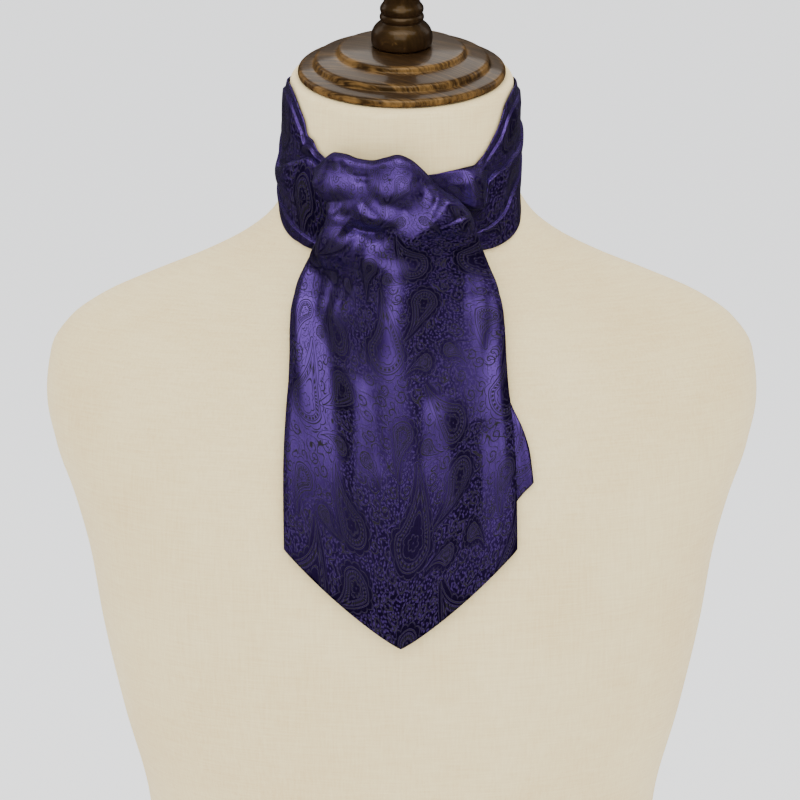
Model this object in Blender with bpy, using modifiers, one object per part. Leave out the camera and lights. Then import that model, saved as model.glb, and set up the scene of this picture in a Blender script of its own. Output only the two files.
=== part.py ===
"""An ascot tie worn on a limbless dress form.

The frame: +Z up, +X to the wearer's left, the front of the form faces -Y.
The origin is on the floor, straight under the middle of the neck's top.
All tables are in millimetres, and MM turns them into Blender's metres.
"""

import math

import bmesh
import bpy
import numpy as np
from mathutils import Vector

MM = 0.001

# ---------------------------------------------------------------- driving dimensions
NECK_TOP = 700.0  # height of the middle of the neck's top above the floor
NECK_LEAN = math.radians(12.0)  # the neck's top faces a little forward
SEAM_GAP = 0.3  # air left between two pieces that meet

CLOTH = 1.4  # two layers of jacquard with a thin interlining
BAND_CLOTH = 2.0  # the stitched pleats of the neck band are thicker
BLADE_TIP = -297.0  # lowest point of the front blade, from the neck's top
UNDER_TIP = -262.0  # lowest point of the other, shorter blade
POINT_RISE = 54.0  # height of the pointed end of a blade

# ---------------------------------------------------------------- the dress form
# Half width, depth in front of and behind the neck's axis, and squareness (2 is an ellipse).
FORM_SECTIONS = np.array(
    [
        # z,   side, front, back, power
        (0.0, 164.0, 102.0, 108.0, 2.40),
        (60.0, 168.0, 104.0, 111.0, 2.40),
        (130.0, 163.0, 104.0, 105.0, 2.35),
        (190.0, 151.0, 102.0, 93.0, 2.30),
        (235.0, 146.0, 101.0, 88.0, 2.30),
        (280.0, 150.0, 104.0, 90.0, 2.30),
        (335.0, 163.0, 110.0, 98.0, 2.35),
        (390.0, 174.0, 113.0, 106.0, 2.40),
        (430.0, 180.0, 112.0, 109.0, 2.40),
        (462.0, 188.0, 108.0, 109.0, 2.40),
        (492.0, 198.0, 102.0, 107.0, 2.35),
        (520.0, 203.0, 93.5, 104.0, 2.25),
        (545.0, 200.0, 84.0, 99.0, 2.10),
        (562.0, 189.0, 76.5, 95.0, 1.90),
        (576.0, 169.0, 70.5, 91.0, 1.72),
        (588.0, 142.0, 65.0, 86.5, 1.60),
        (600.0, 112.0, 61.0, 81.0, 1.56),
        (612.0, 88.0, 59.5, 75.5, 1.62),
        (624.0, 73.0, 60.0, 70.5, 1.80),
        (638.0, 65.0, 61.0, 66.5, 1.95),
        (655.0, 62.5, 61.8, 63.5, 2.00),
        (680.0, 62.0, 62.2, 62.5, 2.00),
        (700.0, 62.5, 62.5, 62.5, 2.00),
    ],
    dtype=[(name, float) for name in ("z", "side", "front", "back", "power")],
)
# The rings of the mesh lean forward round the neck: the height of a ring's middle, and how far its
# front dips.
FORM_RINGS = np.array(
    [(0, 0), (8, 0), (55, 0), (105, 0), (150, 0), (190, 0), (225, 0), (262, 0), (305, 0)]
    + [(350, 0), (394, 0), (434, 0), (466, 0), (492, 0), (516, 1), (536, 3), (552, 5)]
    + [(565, 8), (575, 10), (584, 12), (592, 14), (599, 16), (606, 18), (613, 19)]
    + [(619, 20), (626, 20), (634, 19.5), (643, 18.5), (655, 17), (672, 15), (688, 13.5)]
    + [(696, 13.3)],
    dtype=float,
)
FORM_AROUND = 42
FORM_SHARP = 50.0  # edges sharper than this, in degrees, stay crisp: those of the two flat ends
FLOOR_EDGE = 6.0  # rounding of the form's lowest edge
RIM_EDGE = 4.0  # rounding of the neck's top edge

# ---------------------------------------------------------------- places on the throat
CLOTH_OFF = 14.0  # places across are measured at this distance off the form
CHEST_FROM = 90.0  # below this depth a place across turns from round the neck to straight across
CHEST_OVER = 70.0  # and this is the depth over which it does so
# Ridges (out is positive) and troughs of a cloth. Each runs through three points, given as place
# across and height, and is as wide as its two sides say.
FOLD = [
    (n, float)
    for n in ("x1", "z1", "x2", "z2", "x3", "z3", "out", "left_wide", "right_wide")
]
FOLD_POINTS = 33  # how finely the line of a fold is followed
FOLD_START = 0.25  # share of its length over which a fold rises
FOLD_END = 0.35  # and over which it fades

# ---------------------------------------------------------------- the wooden neck cap
# Turned profile: radius, and height above the neck's top, along the cap's own axis.
CAP_PROFILE = [
    (57.0, 0.0), (58.0, 1.2), (58.0, 3.0), (56.6, 4.6), (49.6, 6.2), (48.8, 8.6), (47.4, 9.8),
    (36.4, 12.4), (35.6, 14.4), (34.2, 15.4), (17.2, 16.6),
]  # fmt: skip
FINIAL_PROFILE = [
    (16.4, 0.0), (17.2, 3.6), (17.0, 7.0), (15.2, 10.6), (11.2, 13.8),
    (12.3, 15.6), (12.3, 17.2), (10.9, 18.8), (12.1, 20.4), (12.1, 22.0), (10.0, 24.6),
    (9.4, 28.4), (11.2, 33.2), (13.2, 39.0), (12.4, 43.8), (9.2, 47.4), (5.0, 49.0),
]  # fmt: skip
CAP_HEIGHT = 16.6
CAP_STEPS = 36
FINIAL_STEPS = 20

# ---------------------------------------------------------------- the neck wrap
# Angle from the front (the wearer's left is positive), the upper and lower edge of the wrap, how
# far down it its three lapped pleats start, as shares of its height, how far the second pleat laps
# out, and how far the whole wrap billows off the neck.
WRAP = [
    (n, float) for n in ("turn", "upper", "lower", "first", "second", "third", "lap", "billow")
]
RIGHT_SIDE = np.array(
    [
        # turn, upper, lower, first, second, third, lap, billow
        (-104.0, -3.0, -52.0, 0.09, 0.40, 0.70, 1.3, 1.2),
        (-88.0, -3.0, -63.0, 0.08, 0.58, 0.86, 1.6, 3.2),
        (-76.0, -4.0, -71.0, 0.08, 0.67, 0.90, 2.2, 3.4),
        (-69.0, -8.0, -77.0, 0.08, 0.58, 0.90, 2.6, 3.4),
        (-61.6, -16.0, -83.0, 0.09, 0.43, 0.90, 2.8, 3.4),
        (-56.8, -22.5, -86.0, 0.09, 0.33, 0.90, 2.8, 3.4),
        (-54.4, -29.0, -87.0, 0.08, 0.23, 0.90, 2.7, 3.4),
        (-50.0, -31.2, -89.0, 0.07, 0.17, 0.91, 2.4, 3.2),
        (-46.5, -36.2, -90.0, 0.05, 0.12, 0.92, 1.8, 2.8),
        (-42.0, -39.2, -91.0, 0.04, 0.12, 0.93, 1.4, 2.3),
        (-38.0, -42.0, -91.0, 0.04, 0.14, 0.94, 1.0, 1.6),
        (-30.0, -46.0, -91.0, 0.04, 0.16, 0.95, 0.6, 0.4),
        (-18.0, -50.0, -91.0, 0.04, 0.18, 0.96, 0.6, 0.0),
    ],
    dtype=WRAP,
)
LEFT_SIDE = np.array(
    [
        (5.0, -47.5, -91.0, 0.05, 0.12, 0.80, 1.3, 0.0),
        (13.0, -47.0, -91.0, 0.05, 0.11, 0.80, 1.3, 0.0),
        (18.0, -46.5, -91.0, 0.05, 0.20, 0.80, 1.3, 0.0),
        (26.0, -45.5, -91.0, 0.05, 0.37, 0.80, 1.3, 0.0),
        (32.0, -44.6, -91.0, 0.06, 0.44, 0.80, 1.3, 0.0),
        (38.0, -43.8, -91.0, 0.07, 0.47, 0.80, 1.3, 0.2),
        (43.0, -40.0, -90.5, 0.08, 0.47, 0.79, 1.3, 0.6),
        (46.5, -36.6, -90.0, 0.09, 0.30, 0.78, 2.2, 1.2),
        (50.0, -32.5, -89.0, 0.09, 0.30, 0.77, 2.4, 1.8),
        (57.0, -24.0, -86.0, 0.10, 0.37, 0.75, 2.3, 2.4),
        (65.0, -12.0, -80.0, 0.10, 0.45, 0.73, 2.1, 3.0),
        (76.0, -6.0, -67.0, 0.10, 0.52, 0.76, 1.9, 3.2),
        (88.0, -4.0, -58.0, 0.09, 0.46, 0.73, 1.7, 2.6),
        (104.0, -3.0, -52.0, 0.09, 0.40, 0.70, 1.3, 1.2),
    ],
    dtype=WRAP,
)
BAND_SIDE = np.array(
    [
        (104.0, -3.0, -52.0, 0.09, 0.40, 0.70, 1.3, 1.2),
        (140.0, 0.0, -47.0, 0.09, 0.38, 0.68, 1.3, 0.6),
        (180.0, 1.5, -45.0, 0.09, 0.38, 0.68, 1.3, 0.4),
        (220.0, 0.0, -47.0, 0.09, 0.38, 0.68, 1.3, 0.6),
        (256.0, -3.0, -52.0, 0.09, 0.40, 0.70, 1.3, 1.2),
    ],
    dtype=WRAP,
)
# The wrap swells on the wearer's right, where it goes under the blade.
RIGHT_FOLDS = np.array([(-95, -54, -68, -58, -42, -66, 3.4, 11, 15)], dtype=FOLD)
WRAP_GAP = 1.2  # middle of the wrap's wall off the form
BILLOW_POWER = 0.7  # under 1 the wrap billows full, over 1 it would billow in its middle only
LAST_PLEAT_END = 1.12  # the third pleat would end this far down, in heights of the wrap
PLEAT_STEP = 1.3  # how far each lapped pleat stands out at its edge
PLEAT_EDGE = 2.0  # width of that edge
# The puff in front, on the wearer's left: place across, height of the crease under it, and how far
# it stands out.
PUFF = np.array(
    [
        (22.0, -53.0, 0.0), (28.0, -56.5, 1.0), (34.0, -59.8, 2.6), (40.0, -62.8, 5.0),
        (45.0, -64.8, 9.0), (49.0, -65.4, 9.6), (54.0, -65.0, 5.6), (61.0, -62.5, 0.0),
    ],
    dtype=[(n, float) for n in ("across", "crease", "out")],
)  # fmt: skip
WRAP_ROWS = 13
WRAP_MIDDLE = 64.0  # radius at which places across the wrap are measured
PUFF_UNDERSIDE = 3.0  # height over which the puff turns back under itself
PLEATS_FROM = 36.0  # on the puff's side the pleats begin at this angle from the front
PLEATS_OVER = 14.0  # and are full this much further round

# ---------------------------------------------------------------- the front blade
# The fold over which the blade comes forward: place across, height, radius of the roll, and how far
# the part behind it lies off the form.
TOP_FOLD = np.array(
    [
        # across, height, roll, behind
        (-56.0, -45.0, 1.4, 6.6),
        (-50.0, -41.2, 2.2, 6.4),
        (-45.0, -37.4, 3.2, 6.1),
        (-40.0, -34.9, 4.0, 5.8),
        (-33.5, -35.3, 4.4, 5.6),
        (-26.0, -37.3, 4.4, 5.6),
        (-17.0, -38.1, 4.4, 5.6),
        (-9.0, -36.3, 4.6, 5.6),
        (-2.4, -34.8, 4.8, 5.6),
        (4.0, -36.9, 4.6, 5.6),
        (9.5, -41.0, 4.2, 5.4),
        (15.0, -46.5, 3.4, 5.0),
        (19.0, -52.0, 2.6, 4.6),
    ],
    dtype=[(n, float) for n in ("across", "height", "roll", "behind")],
)
# Its two side edges on the way down, as places across.
BLADE_SIDES = np.array(
    [
        (-330.0, -71.0, 70.0), (-250.0, -71.5, 70.0), (-200.0, -72.0, 69.0), (-165.0, -70.5, 66.0),
        (-135.0, -66.5, 61.5), (-110.0, -60.5, 55.5), (-95.0, -55.5, 50.5), (-88.0, -51.5, 48.4),
        (-82.0, -47.0, 46.5), (-75.0, -41.5, 43.5), (-67.0, -40.0, 39.5), (-60.0, -42.0, 33.0),
        (-55.0, -47.0, 24.5), (-50.0, -55.0, 19.5), (-30.0, -56.0, 19.0),
    ],
    dtype=[(n, float) for n in ("height", "left", "right")],
)  # fmt: skip
# How far the blade stands off the form along its middle, where that middle is, how rounded the
# middle is, over what distance the cloth falls away from it, and how far the sides lie off.
BLADE_BODY = np.array(
    [
        # height, middle, centre, round, reach, sides
        (-330.0, 3.6, 0.0, 30.0, 40.0, 3.6),
        (-250.0, 6.0, -2.0, 26.0, 34.0, 3.6),
        (-200.0, 10.0, -3.0, 18.0, 26.0, 3.8),
        (-165.0, 15.0, -3.5, 16.0, 23.0, 4.4),
        (-140.0, 19.5, -4.5, 13.0, 21.0, 5.2),
        (-122.0, 23.0, -4.5, 12.0, 20.0, 6.2),
        (-107.0, 25.2, -3.0, 11.0, 20.0, 7.0),
        (-97.0, 25.6, -5.0, 14.0, 21.0, 7.6),
        (-88.0, 25.2, -15.0, 34.0, 23.0, 8.0),
        (-80.0, 24.0, -17.0, 56.0, 24.0, 8.0),
        (-72.0, 22.8, -9.0, 66.0, 24.0, 8.0),
        (-64.0, 21.6, -5.0, 80.0, 24.0, 8.0),
        (-54.0, 20.0, -5.0, 80.0, 24.0, 7.8),
        (-44.0, 17.0, -8.0, 80.0, 24.0, 7.4),
        (-30.0, 14.5, -10.0, 80.0, 24.0, 7.0),
    ],
    dtype=[(n, float) for n in ("height", "middle", "centre", "round", "reach", "sides")],
)
BLADE_FOLDS = np.array(
    [
        (-53, -41, -46, -52, -38, -66, 5.2, 4, 14),  # rim of the puff at the wearer's right
        (-19, -40, -18, -48, -15, -56, -1.0, 7, 7),  # dip between the humps
        (-2, -36, 1, -47, 8, -58, 1.0, 10, 10),  # second hump
        (5, -46, 11, -53, 8, -61, -1.6, 4, 3),  # bowl beside it
        (-9, -57, -2, -62, 6, -62, -1.2, 4, 4),  # dent under the bowl
        (-28, -72, -18, -75, -4, -75, -6.5, 5, 4),  # hollow under the puff
        (-24, -61, -12, -67, 4, -67, 1.8, 7, 5),  # the puff's full lower edge
        (-33, -64, -27, -66, -20, -64, -1.6, 3, 3),  # short crease above the lobe
        (-39, -60, -39, -79, -44, -104, 6.0, 3, 14),  # lobe left of the hollow
        (-20, -78, -25, -88, -32, -102, -2.0, 4, 4),  # trough beside the lobe
        (-13, -86, -24, -101, -36, -124, 1.2, 4, 5),  # soft folds that fan out under it
        (-27, -98, -35, -114, -45, -136, 1.2, 4, 5),
        (20, -50, 33, -62, 36, -84, 7.0, 15, 4),  # full shoulder at the wearer's left
        (26, -68, 27, -73, 26, -80, 2.4, 9, 8),  # its full lower end
        (26, -68, 9, -75, -1, -88, 4.2, 8, 6),  # ridge from that shoulder to the middle
        (62, -96, 61, -130, 57, -190, 2.4, 7, 6),  # outer ridge on the wearer's left
        (-56, -96, -60, -124, -56, -184, 2.4, 6, 8),  # outer ridge on the wearer's right
        (-46, -116, -42, -152, -38, -206, -1.6, 7, 8),  # trough inside it
        (-26, -150, -25, -184, -24, -242, 1.8, 7, 8),
        (22, -160, 27, -200, 29, -252, 2.0, 9, 8),
        (44, -174, 50, -206, 50, -250, -1.8, 8, 8),
    ],
    dtype=FOLD,
)
BLADE_COLUMNS = 36
BLADE_ROWS = 40
LEG_BEHIND = 12.0  # how far the blade runs down again behind the top fold
LEG_SHARE = 0.07  # share of the blade's rows that lie on that part
ROLL_SHARE = 0.16  # share of them that go round the top fold
EVEN_ROWS = 0.55  # how much of the rest is spaced evenly, where the others widen downwards
ROLL_TO_BODY = 12.0  # length below the roll over which the cloth takes the blade's full shape
FLARE_FROM = -190.0  # from this height up only the blade's edges flare out,
FLARE_OVER = 110.0  # fully so this much higher,
FLARE_POWER = 4.0  # and the more the closer they are to the edge
POINT_CURVE = 1.15  # just over 1 rounds the tip of a blade a little
FOLD_FREE = 0.06  # share of the blade's width at each edge over which its folds fade
BODY_LEAST = 0.2  # a trough goes at most this far below the height of the sides
EDGE_CURVE = 4.5  # width over which the blade's edges come down on what lies under them

# ---------------------------------------------------------------- the under blade
UNDER_SIDES = np.array(
    [(-300.0, -55.0, 83.0), (-230.0, -55.0, 83.0), (-195.0, -52.0, 80.0)]
    + [(-165.0, -44.0, 68.0), (-140.0, -36.0, 52.0), (-115.0, -28.0, 38.0), (-92.0, -24.0, 30.0)],
    dtype=BLADE_SIDES.dtype,
)
UNDER_GAP = 1.3
UNDER_TOP = -91.5
UNDER_FOLDS = np.array(
    [
        (72, -170, 80, -200, 82, -236, 1.6, 4, 8),
        (6, -100, 8, -125, 10, -150, 1.6, 8, 8),
    ],
    dtype=FOLD,
)
UNDER_COLUMNS = 14
UNDER_ROWS = 16


# ================================================================ shapes worked out from the tables
def smooth(xs, ys, x):
    """The values at x of a smooth curve through the points (xs, ys), which doesn't overshoot them."""
    step, slope = np.diff(xs), np.diff(ys) / np.diff(xs)
    tangent = np.zeros(len(xs))
    before, after = slope[:-1], slope[1:]
    turning = before * after <= 0
    mean = 2 * before * after / np.where(turning, 1, before + after)
    tangent[1:-1] = np.where(turning, 0, mean)
    tangent[0], tangent[-1] = slope[0], slope[-1]
    x = np.clip(x, xs[0], xs[-1])
    i = np.clip(np.searchsorted(xs, x) - 1, 0, len(step) - 1)
    t, h = (x - xs[i]) / step[i], step[i]
    return (
        (1 + 2 * t) * (1 - t) ** 2 * ys[i]
        + t * (1 - t) ** 2 * h * tangent[i]
        + t * t * (3 - 2 * t) * ys[i + 1]
        + t * t * (t - 1) * h * tangent[i + 1]
    )


def column(table, by, name, x):
    """A table's named column, read smoothly at x of another column."""
    return smooth(table[by], table[name], x)


def ease(t):
    """Goes smoothly from 0 to 1 as t does, and stays there outside."""
    t = np.clip(t, 0, 1)
    return t * t * (3 - 2 * t)


def form_radius(turn, z):
    """How far the form's surface is from the neck's axis, at an angle from the front and a height."""
    side, power = column(FORM_SECTIONS, "z", "side", z), column(FORM_SECTIONS, "z", "power", z)
    front, back = column(FORM_SECTIONS, "z", "front", z), column(FORM_SECTIONS, "z", "back", z)
    deep = np.where(np.cos(turn) > 0, front, back)
    across, along = np.abs(np.sin(turn)) / side, np.abs(np.cos(turn)) / deep
    return (across**power + along**power) ** (-1 / power)


def off_form(turn, z, gap):
    """The radius at which a sheet lies a gap off the form, measured square to the form's surface."""
    little = 0.5
    small = little / 60
    radius = form_radius(turn, z)
    up = (form_radius(turn, z + little) - form_radius(turn, z - little)) / (2 * little)
    round_it = (form_radius(turn + small, z) - form_radius(turn - small, z)) / (2 * small * radius)
    return radius + gap * np.sqrt(1 + up**2 + round_it**2)


def turn_of(across, z):
    """The angle of a place across the front: round the neck it is measured along the neck's skin,
    and on the chest straight across."""
    radius = form_radius(0 * across, z) + CLOTH_OFF
    on_chest = ease((NECK_TOP - CHEST_FROM - z) / CHEST_OVER)
    return (1 - on_chest) * across / radius + on_chest * np.arctan(across / radius)


def point(turn, radius, z):
    return np.stack([radius * np.sin(turn), -radius * np.cos(turn), z], axis=-1)


def fold_height(folds, across, height):
    """What the ridges and troughs of a table add at each point, in millimetres outwards."""
    total = np.zeros(np.broadcast(across, height).shape)
    t = np.linspace(0, 1, FOLD_POINTS)
    for fold in folds:
        # The middle point lies on the curve, so the control point is twice as far out.
        bend_x = 2 * fold["x2"] - (fold["x1"] + fold["x3"]) / 2
        bend_z = 2 * fold["z2"] - (fold["z1"] + fold["z3"]) / 2
        line_x = (1 - t) ** 2 * fold["x1"] + 2 * t * (1 - t) * bend_x + t**2 * fold["x3"]
        line_z = (1 - t) ** 2 * fold["z1"] + 2 * t * (1 - t) * bend_z + t**2 * fold["z3"]
        apart = np.hypot(across[..., None] - line_x, height[..., None] - line_z)
        nearest = apart.argmin(axis=-1)
        distance = apart.min(axis=-1)
        run_x, run_z = np.gradient(line_x)[nearest], np.gradient(line_z)[nearest]
        side = (across - line_x[nearest]) * run_z - (height - line_z[nearest]) * run_x
        wide = np.where(side > 0, fold["left_wide"], fold["right_wide"])
        along = t[nearest]
        taper = ease(along / FOLD_START + 0.25) * ease((1 - along) / FOLD_END)
        total += fold["out"] * taper * np.exp(-((distance / wide) ** 2))
    return total


# ================================================================ the wrap round the neck
def pleat_profile(share, starts, lap, height):
    """How far lapped pleats stand out, at a share of the way down the wrap: each steps out at its
    upper edge, and leans back to the cloth under the next one."""
    out = np.zeros(share.shape)
    ends = [*starts[1:], np.full(share.shape, LAST_PLEAT_END)]
    for start, end, step in zip(starts, ends, (PLEAT_STEP, lap, PLEAT_STEP)):
        edge = PLEAT_EDGE / height
        rise = ease((share - start) / edge + 0.5)
        fall = 1 - ease((share - start - edge / 2) / (end - start - edge))
        out += step * rise * fall
    return out


def rows_down(v, starts, height):
    """Turns even rows into rows that keep to the edges of the pleats, as shares of the way down."""
    first, second, third = starts
    half_edge = PLEAT_EDGE / 2 / height
    rows = [
        0 * first,
        first - half_edge,
        first + half_edge,
        first + (second - first) * 0.34,
        first + (second - first) * 0.60,
        first + (second - first) * 0.84,
        second - half_edge,
        second + half_edge,
        second + (third - second) * 0.34,
        second + (third - second) * 0.66,
        third - half_edge,
        third + half_edge,
        (third + 1) / 2,
        0 * first + 1,
    ]
    rows = np.maximum.accumulate(np.array(rows))
    even = np.clip(v, 0, 1) * (len(rows) - 1)
    row = np.minimum(even.astype(int), len(rows) - 2)
    above = np.take_along_axis(rows, row[None], axis=0)[0]
    below = np.take_along_axis(rows, row[None] + 1, axis=0)[0]
    return above + (even - row) * (below - above)


def puff_height(turn, z, upper):
    """The puff in front: rounded from the wrap's upper edge to its crease, where it turns under."""
    across = turn * (form_radius(turn, z) + CLOTH_OFF)
    crease = NECK_TOP + column(PUFF, "across", "crease", across)
    out = column(PUFF, "across", "out", across) * (across > PUFF["across"][0])
    share = np.clip((z - crease) / np.maximum(upper - crease, 1), 0, 1)
    under = ease(1 + (z - crease) / PUFF_UNDERSIDE)
    return out * np.sqrt(np.clip(1 - share**2, 0, 1)) * under


def wrap_place(sides, with_puff, folds=()):
    """The middle of the wrap's wall, from shares along it and down it."""

    def place(u, v):
        first, last = sides["turn"][0], sides["turn"][-1]
        turn = first + u * (last - first)
        upper = NECK_TOP + column(sides, "turn", "upper", turn)
        lower = NECK_TOP + column(sides, "turn", "lower", turn)
        starts = [column(sides, "turn", name, turn) for name in ("first", "second", "third")]
        down = rows_down(v, starts, upper - lower)
        z = upper + down * (lower - upper)
        angle = np.radians(turn)
        lap, billow = (column(sides, "turn", name, turn) for name in ("lap", "billow"))
        stand_off = WRAP_GAP + pleat_profile(down, starts, lap, upper - lower)
        stand_off = stand_off + billow * np.sin(math.pi * down) ** BILLOW_POWER
        if with_puff:
            pleated = ease((turn - PLEATS_FROM) / PLEATS_OVER)  # they open out towards the puff
            stand_off = WRAP_GAP + (stand_off - WRAP_GAP) * pleated
        stand_off = stand_off + fold_height(folds, angle * WRAP_MIDDLE, z - NECK_TOP)
        radius = off_form(angle, z, stand_off)
        if with_puff:
            radius = radius + puff_height(angle, z, upper)
        return point(angle, radius, z)

    return place


# ================================================================ the front blade
def blade_place(u, v):
    """The middle of the blade's wall. v is 0 at its end behind the top fold, and 1 at the tip."""
    top_across = TOP_FOLD["across"][0] + u * (TOP_FOLD["across"][-1] - TOP_FOLD["across"][0])
    top, roll, behind = (
        column(TOP_FOLD, "across", name, top_across) for name in ("height", "roll", "behind")
    )
    quarter = math.pi / 2 * roll
    hem = BLADE_TIP + POINT_RISE * np.abs(2 * u - 1) ** POINT_CURVE
    # The length along the cloth from the top of the fold: behind it, round it, and down the front.
    down_leg = (v / LEG_SHARE - 1) * (LEG_BEHIND * roll / TOP_FOLD["roll"].max()) - quarter
    round_fold = ((v - LEG_SHARE) / ROLL_SHARE * 2 - 1) * quarter
    roll_end = LEG_SHARE + ROLL_SHARE
    fall = np.clip((v - roll_end) / (1 - roll_end), 0, 1)
    down_front = quarter + (top - roll - hem) * (EVEN_ROWS * fall + (1 - EVEN_ROWS) * fall**2)
    run = np.where(v < LEG_SHARE, down_leg, np.where(v <= roll_end, round_fold, down_front))
    angle = np.clip(run / roll, -math.pi / 2, math.pi / 2)
    height = top - roll * (1 - np.cos(angle)) - np.maximum(np.abs(run) - quarter, 0)

    spread = 1 + FLARE_POWER * ease((height - FLARE_FROM) / FLARE_OVER)
    level = np.where(run < 0, top, height)  # behind the fold the cloth doesn't flare
    left, right = (column(BLADE_SIDES, "height", name, level) for name in ("left", "right"))
    start, end = TOP_FOLD["across"][0], TOP_FOLD["across"][-1]
    across = start + (end - start) * u
    across = across + (right - end) * u**spread + (left - start) * (1 - u) ** spread

    middle, centre, rounded, reach, sides = (
        column(BLADE_BODY, "height", name, height)
        for name in ("middle", "centre", "round", "reach", "sides")
    )
    fall_off = (np.hypot(across - centre, rounded) - rounded) / reach
    from_edge = np.minimum(across - left, right - across)
    edges = np.sin(math.pi / 2 * np.clip(from_edge / EDGE_CURVE, 0, 1))
    body = sides + (middle - sides) * np.exp(-fall_off) * edges
    inside = ease(u / FOLD_FREE) * ease((1 - u) / FOLD_FREE)
    body = body + fold_height(BLADE_FOLDS, across, height) * inside
    body = np.maximum(body, sides - BODY_LEAST)
    folded = behind + roll + roll * np.sin(angle)
    to_body = ease(np.maximum(run, 0) / (quarter + ROLL_TO_BODY))
    stand_off = folded + (body - folded) * to_body

    z = NECK_TOP + height
    turn = turn_of(across, z)
    thin = np.minimum(stand_off, sides)
    radius = off_form(turn, z, thin) + (stand_off - thin)
    return point(turn, radius, z)


def under_place(u, v):
    """The middle of the under blade's wall, which lies on the form's chest."""
    hem = UNDER_TIP + POINT_RISE * np.abs(2 * u - 1) ** POINT_CURVE
    height = UNDER_TOP + v * (hem - UNDER_TOP)
    left, right = (column(UNDER_SIDES, "height", name, height) for name in ("left", "right"))
    across = left + u * (right - left)
    out = fold_height(UNDER_FOLDS, across, height)
    z = NECK_TOP + height
    turn = turn_of(across, z)
    return point(turn, off_form(turn, z, UNDER_GAP + out), z)


# ================================================================ objects
def finish(obj, material, collection):
    for other in list(obj.users_collection):
        other.objects.unlink(obj)
    collection.objects.link(obj)
    obj.data.materials.clear()
    obj.data.materials.append(material)
    obj.data.shade_smooth()


def cloth_sheet(name, columns, rows, place, thickness, material, collection):
    """A wall of cloth: a flat grid, draped by a function, and thickened to both sides."""
    bpy.ops.mesh.primitive_grid_add(x_subdivisions=columns, y_subdivisions=rows, size=1)
    sheet = bpy.context.object
    sheet.name = name
    flat = np.array([vertex.co for vertex in sheet.data.vertices])
    draped = place(flat[:, 0] + 0.5, 0.5 - flat[:, 1])
    for vertex, where in zip(sheet.data.vertices, draped * MM):
        vertex.co = where
    wall = sheet.modifiers.new("wall", "SOLIDIFY")
    wall.thickness = thickness * MM
    wall.offset = 0
    wall.use_even_offset = False
    finish(sheet, material, collection)


def form_body(material, collection):
    """The padded torso and neck: rings of points, skinned and closed flat at both ends."""
    turns = np.arange(FORM_AROUND) * 2 * math.pi / FORM_AROUND
    mesh = bmesh.new()
    rings = []

    def add_ring(middle, dip, inset):
        z = middle - dip * np.cos(turns)
        places = point(turns, form_radius(turns, z) - inset, z) * MM
        rings.append([mesh.verts.new(place) for place in places])

    add_ring(FORM_RINGS[0, 0], 0, FLOOR_EDGE)
    for middle, dip in FORM_RINGS[1:]:
        add_ring(middle, dip, 0)
    rim_dip = math.tan(NECK_LEAN) * FORM_SECTIONS["front"][-1]
    for angle in (math.radians(45), math.radians(90)):
        inset = RIM_EDGE * (1 - math.cos(angle))
        height = NECK_TOP - RIM_EDGE * (1 - math.sin(angle))
        add_ring(height, rim_dip * (1 - inset / FORM_SECTIONS["front"][-1]), inset)
    for low, high in zip(rings, rings[1:]):
        for i in range(FORM_AROUND):
            j = (i + 1) % FORM_AROUND
            mesh.faces.new((low[i], low[j], high[j], high[i]))
    mesh.faces.new(reversed(rings[0]))
    mesh.faces.new(rings[-1])
    bmesh.ops.recalc_face_normals(mesh, faces=mesh.faces)
    data = bpy.data.meshes.new("form_body")
    mesh.to_mesh(data)
    mesh.free()
    obj = bpy.data.objects.new("form_body", data)
    collection.objects.link(obj)
    finish(obj, material, collection)
    data.set_sharp_from_angle(angle=math.radians(FORM_SHARP))


def turned(name, profile, base, steps, material, collection):
    """A piece turned on a lathe: its profile runs from the outer edge of its foot to its top."""
    mesh = bmesh.new()
    outline = [(0.0, 0.0), *profile, (0.0, profile[-1][1])]
    for radius, height in reversed(outline):
        mesh.verts.new((radius * MM, 0, (base + height) * MM))
    mesh.verts.ensure_lookup_table()
    for a, b in zip(mesh.verts[:-1], mesh.verts[1:]):
        mesh.edges.new((a, b))
    data = bpy.data.meshes.new(name)
    mesh.to_mesh(data)
    mesh.free()
    obj = bpy.data.objects.new(name, data)
    collection.objects.link(obj)
    screw = obj.modifiers.new("lathe", "SCREW")
    screw.steps = screw.render_steps = steps
    screw.use_merge_vertices = True
    screw.merge_threshold = 0.05 * MM
    finish(obj, material, collection)
    obj.location = Vector((0, 0, NECK_TOP * MM))
    obj.rotation_euler = (NECK_LEAN, 0, 0)


def surface(name, colour, roughness, metallic):
    material = bpy.data.materials.new(name)
    material.use_nodes = True
    shader = material.node_tree.nodes["Principled BSDF"]
    shader.inputs["Base Color"].default_value = (*colour, 1)
    shader.inputs["Roughness"].default_value = roughness
    shader.inputs["Metallic"].default_value = metallic
    return material


def clear_scene():
    for obj in list(bpy.data.objects):
        bpy.data.objects.remove(obj)


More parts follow.
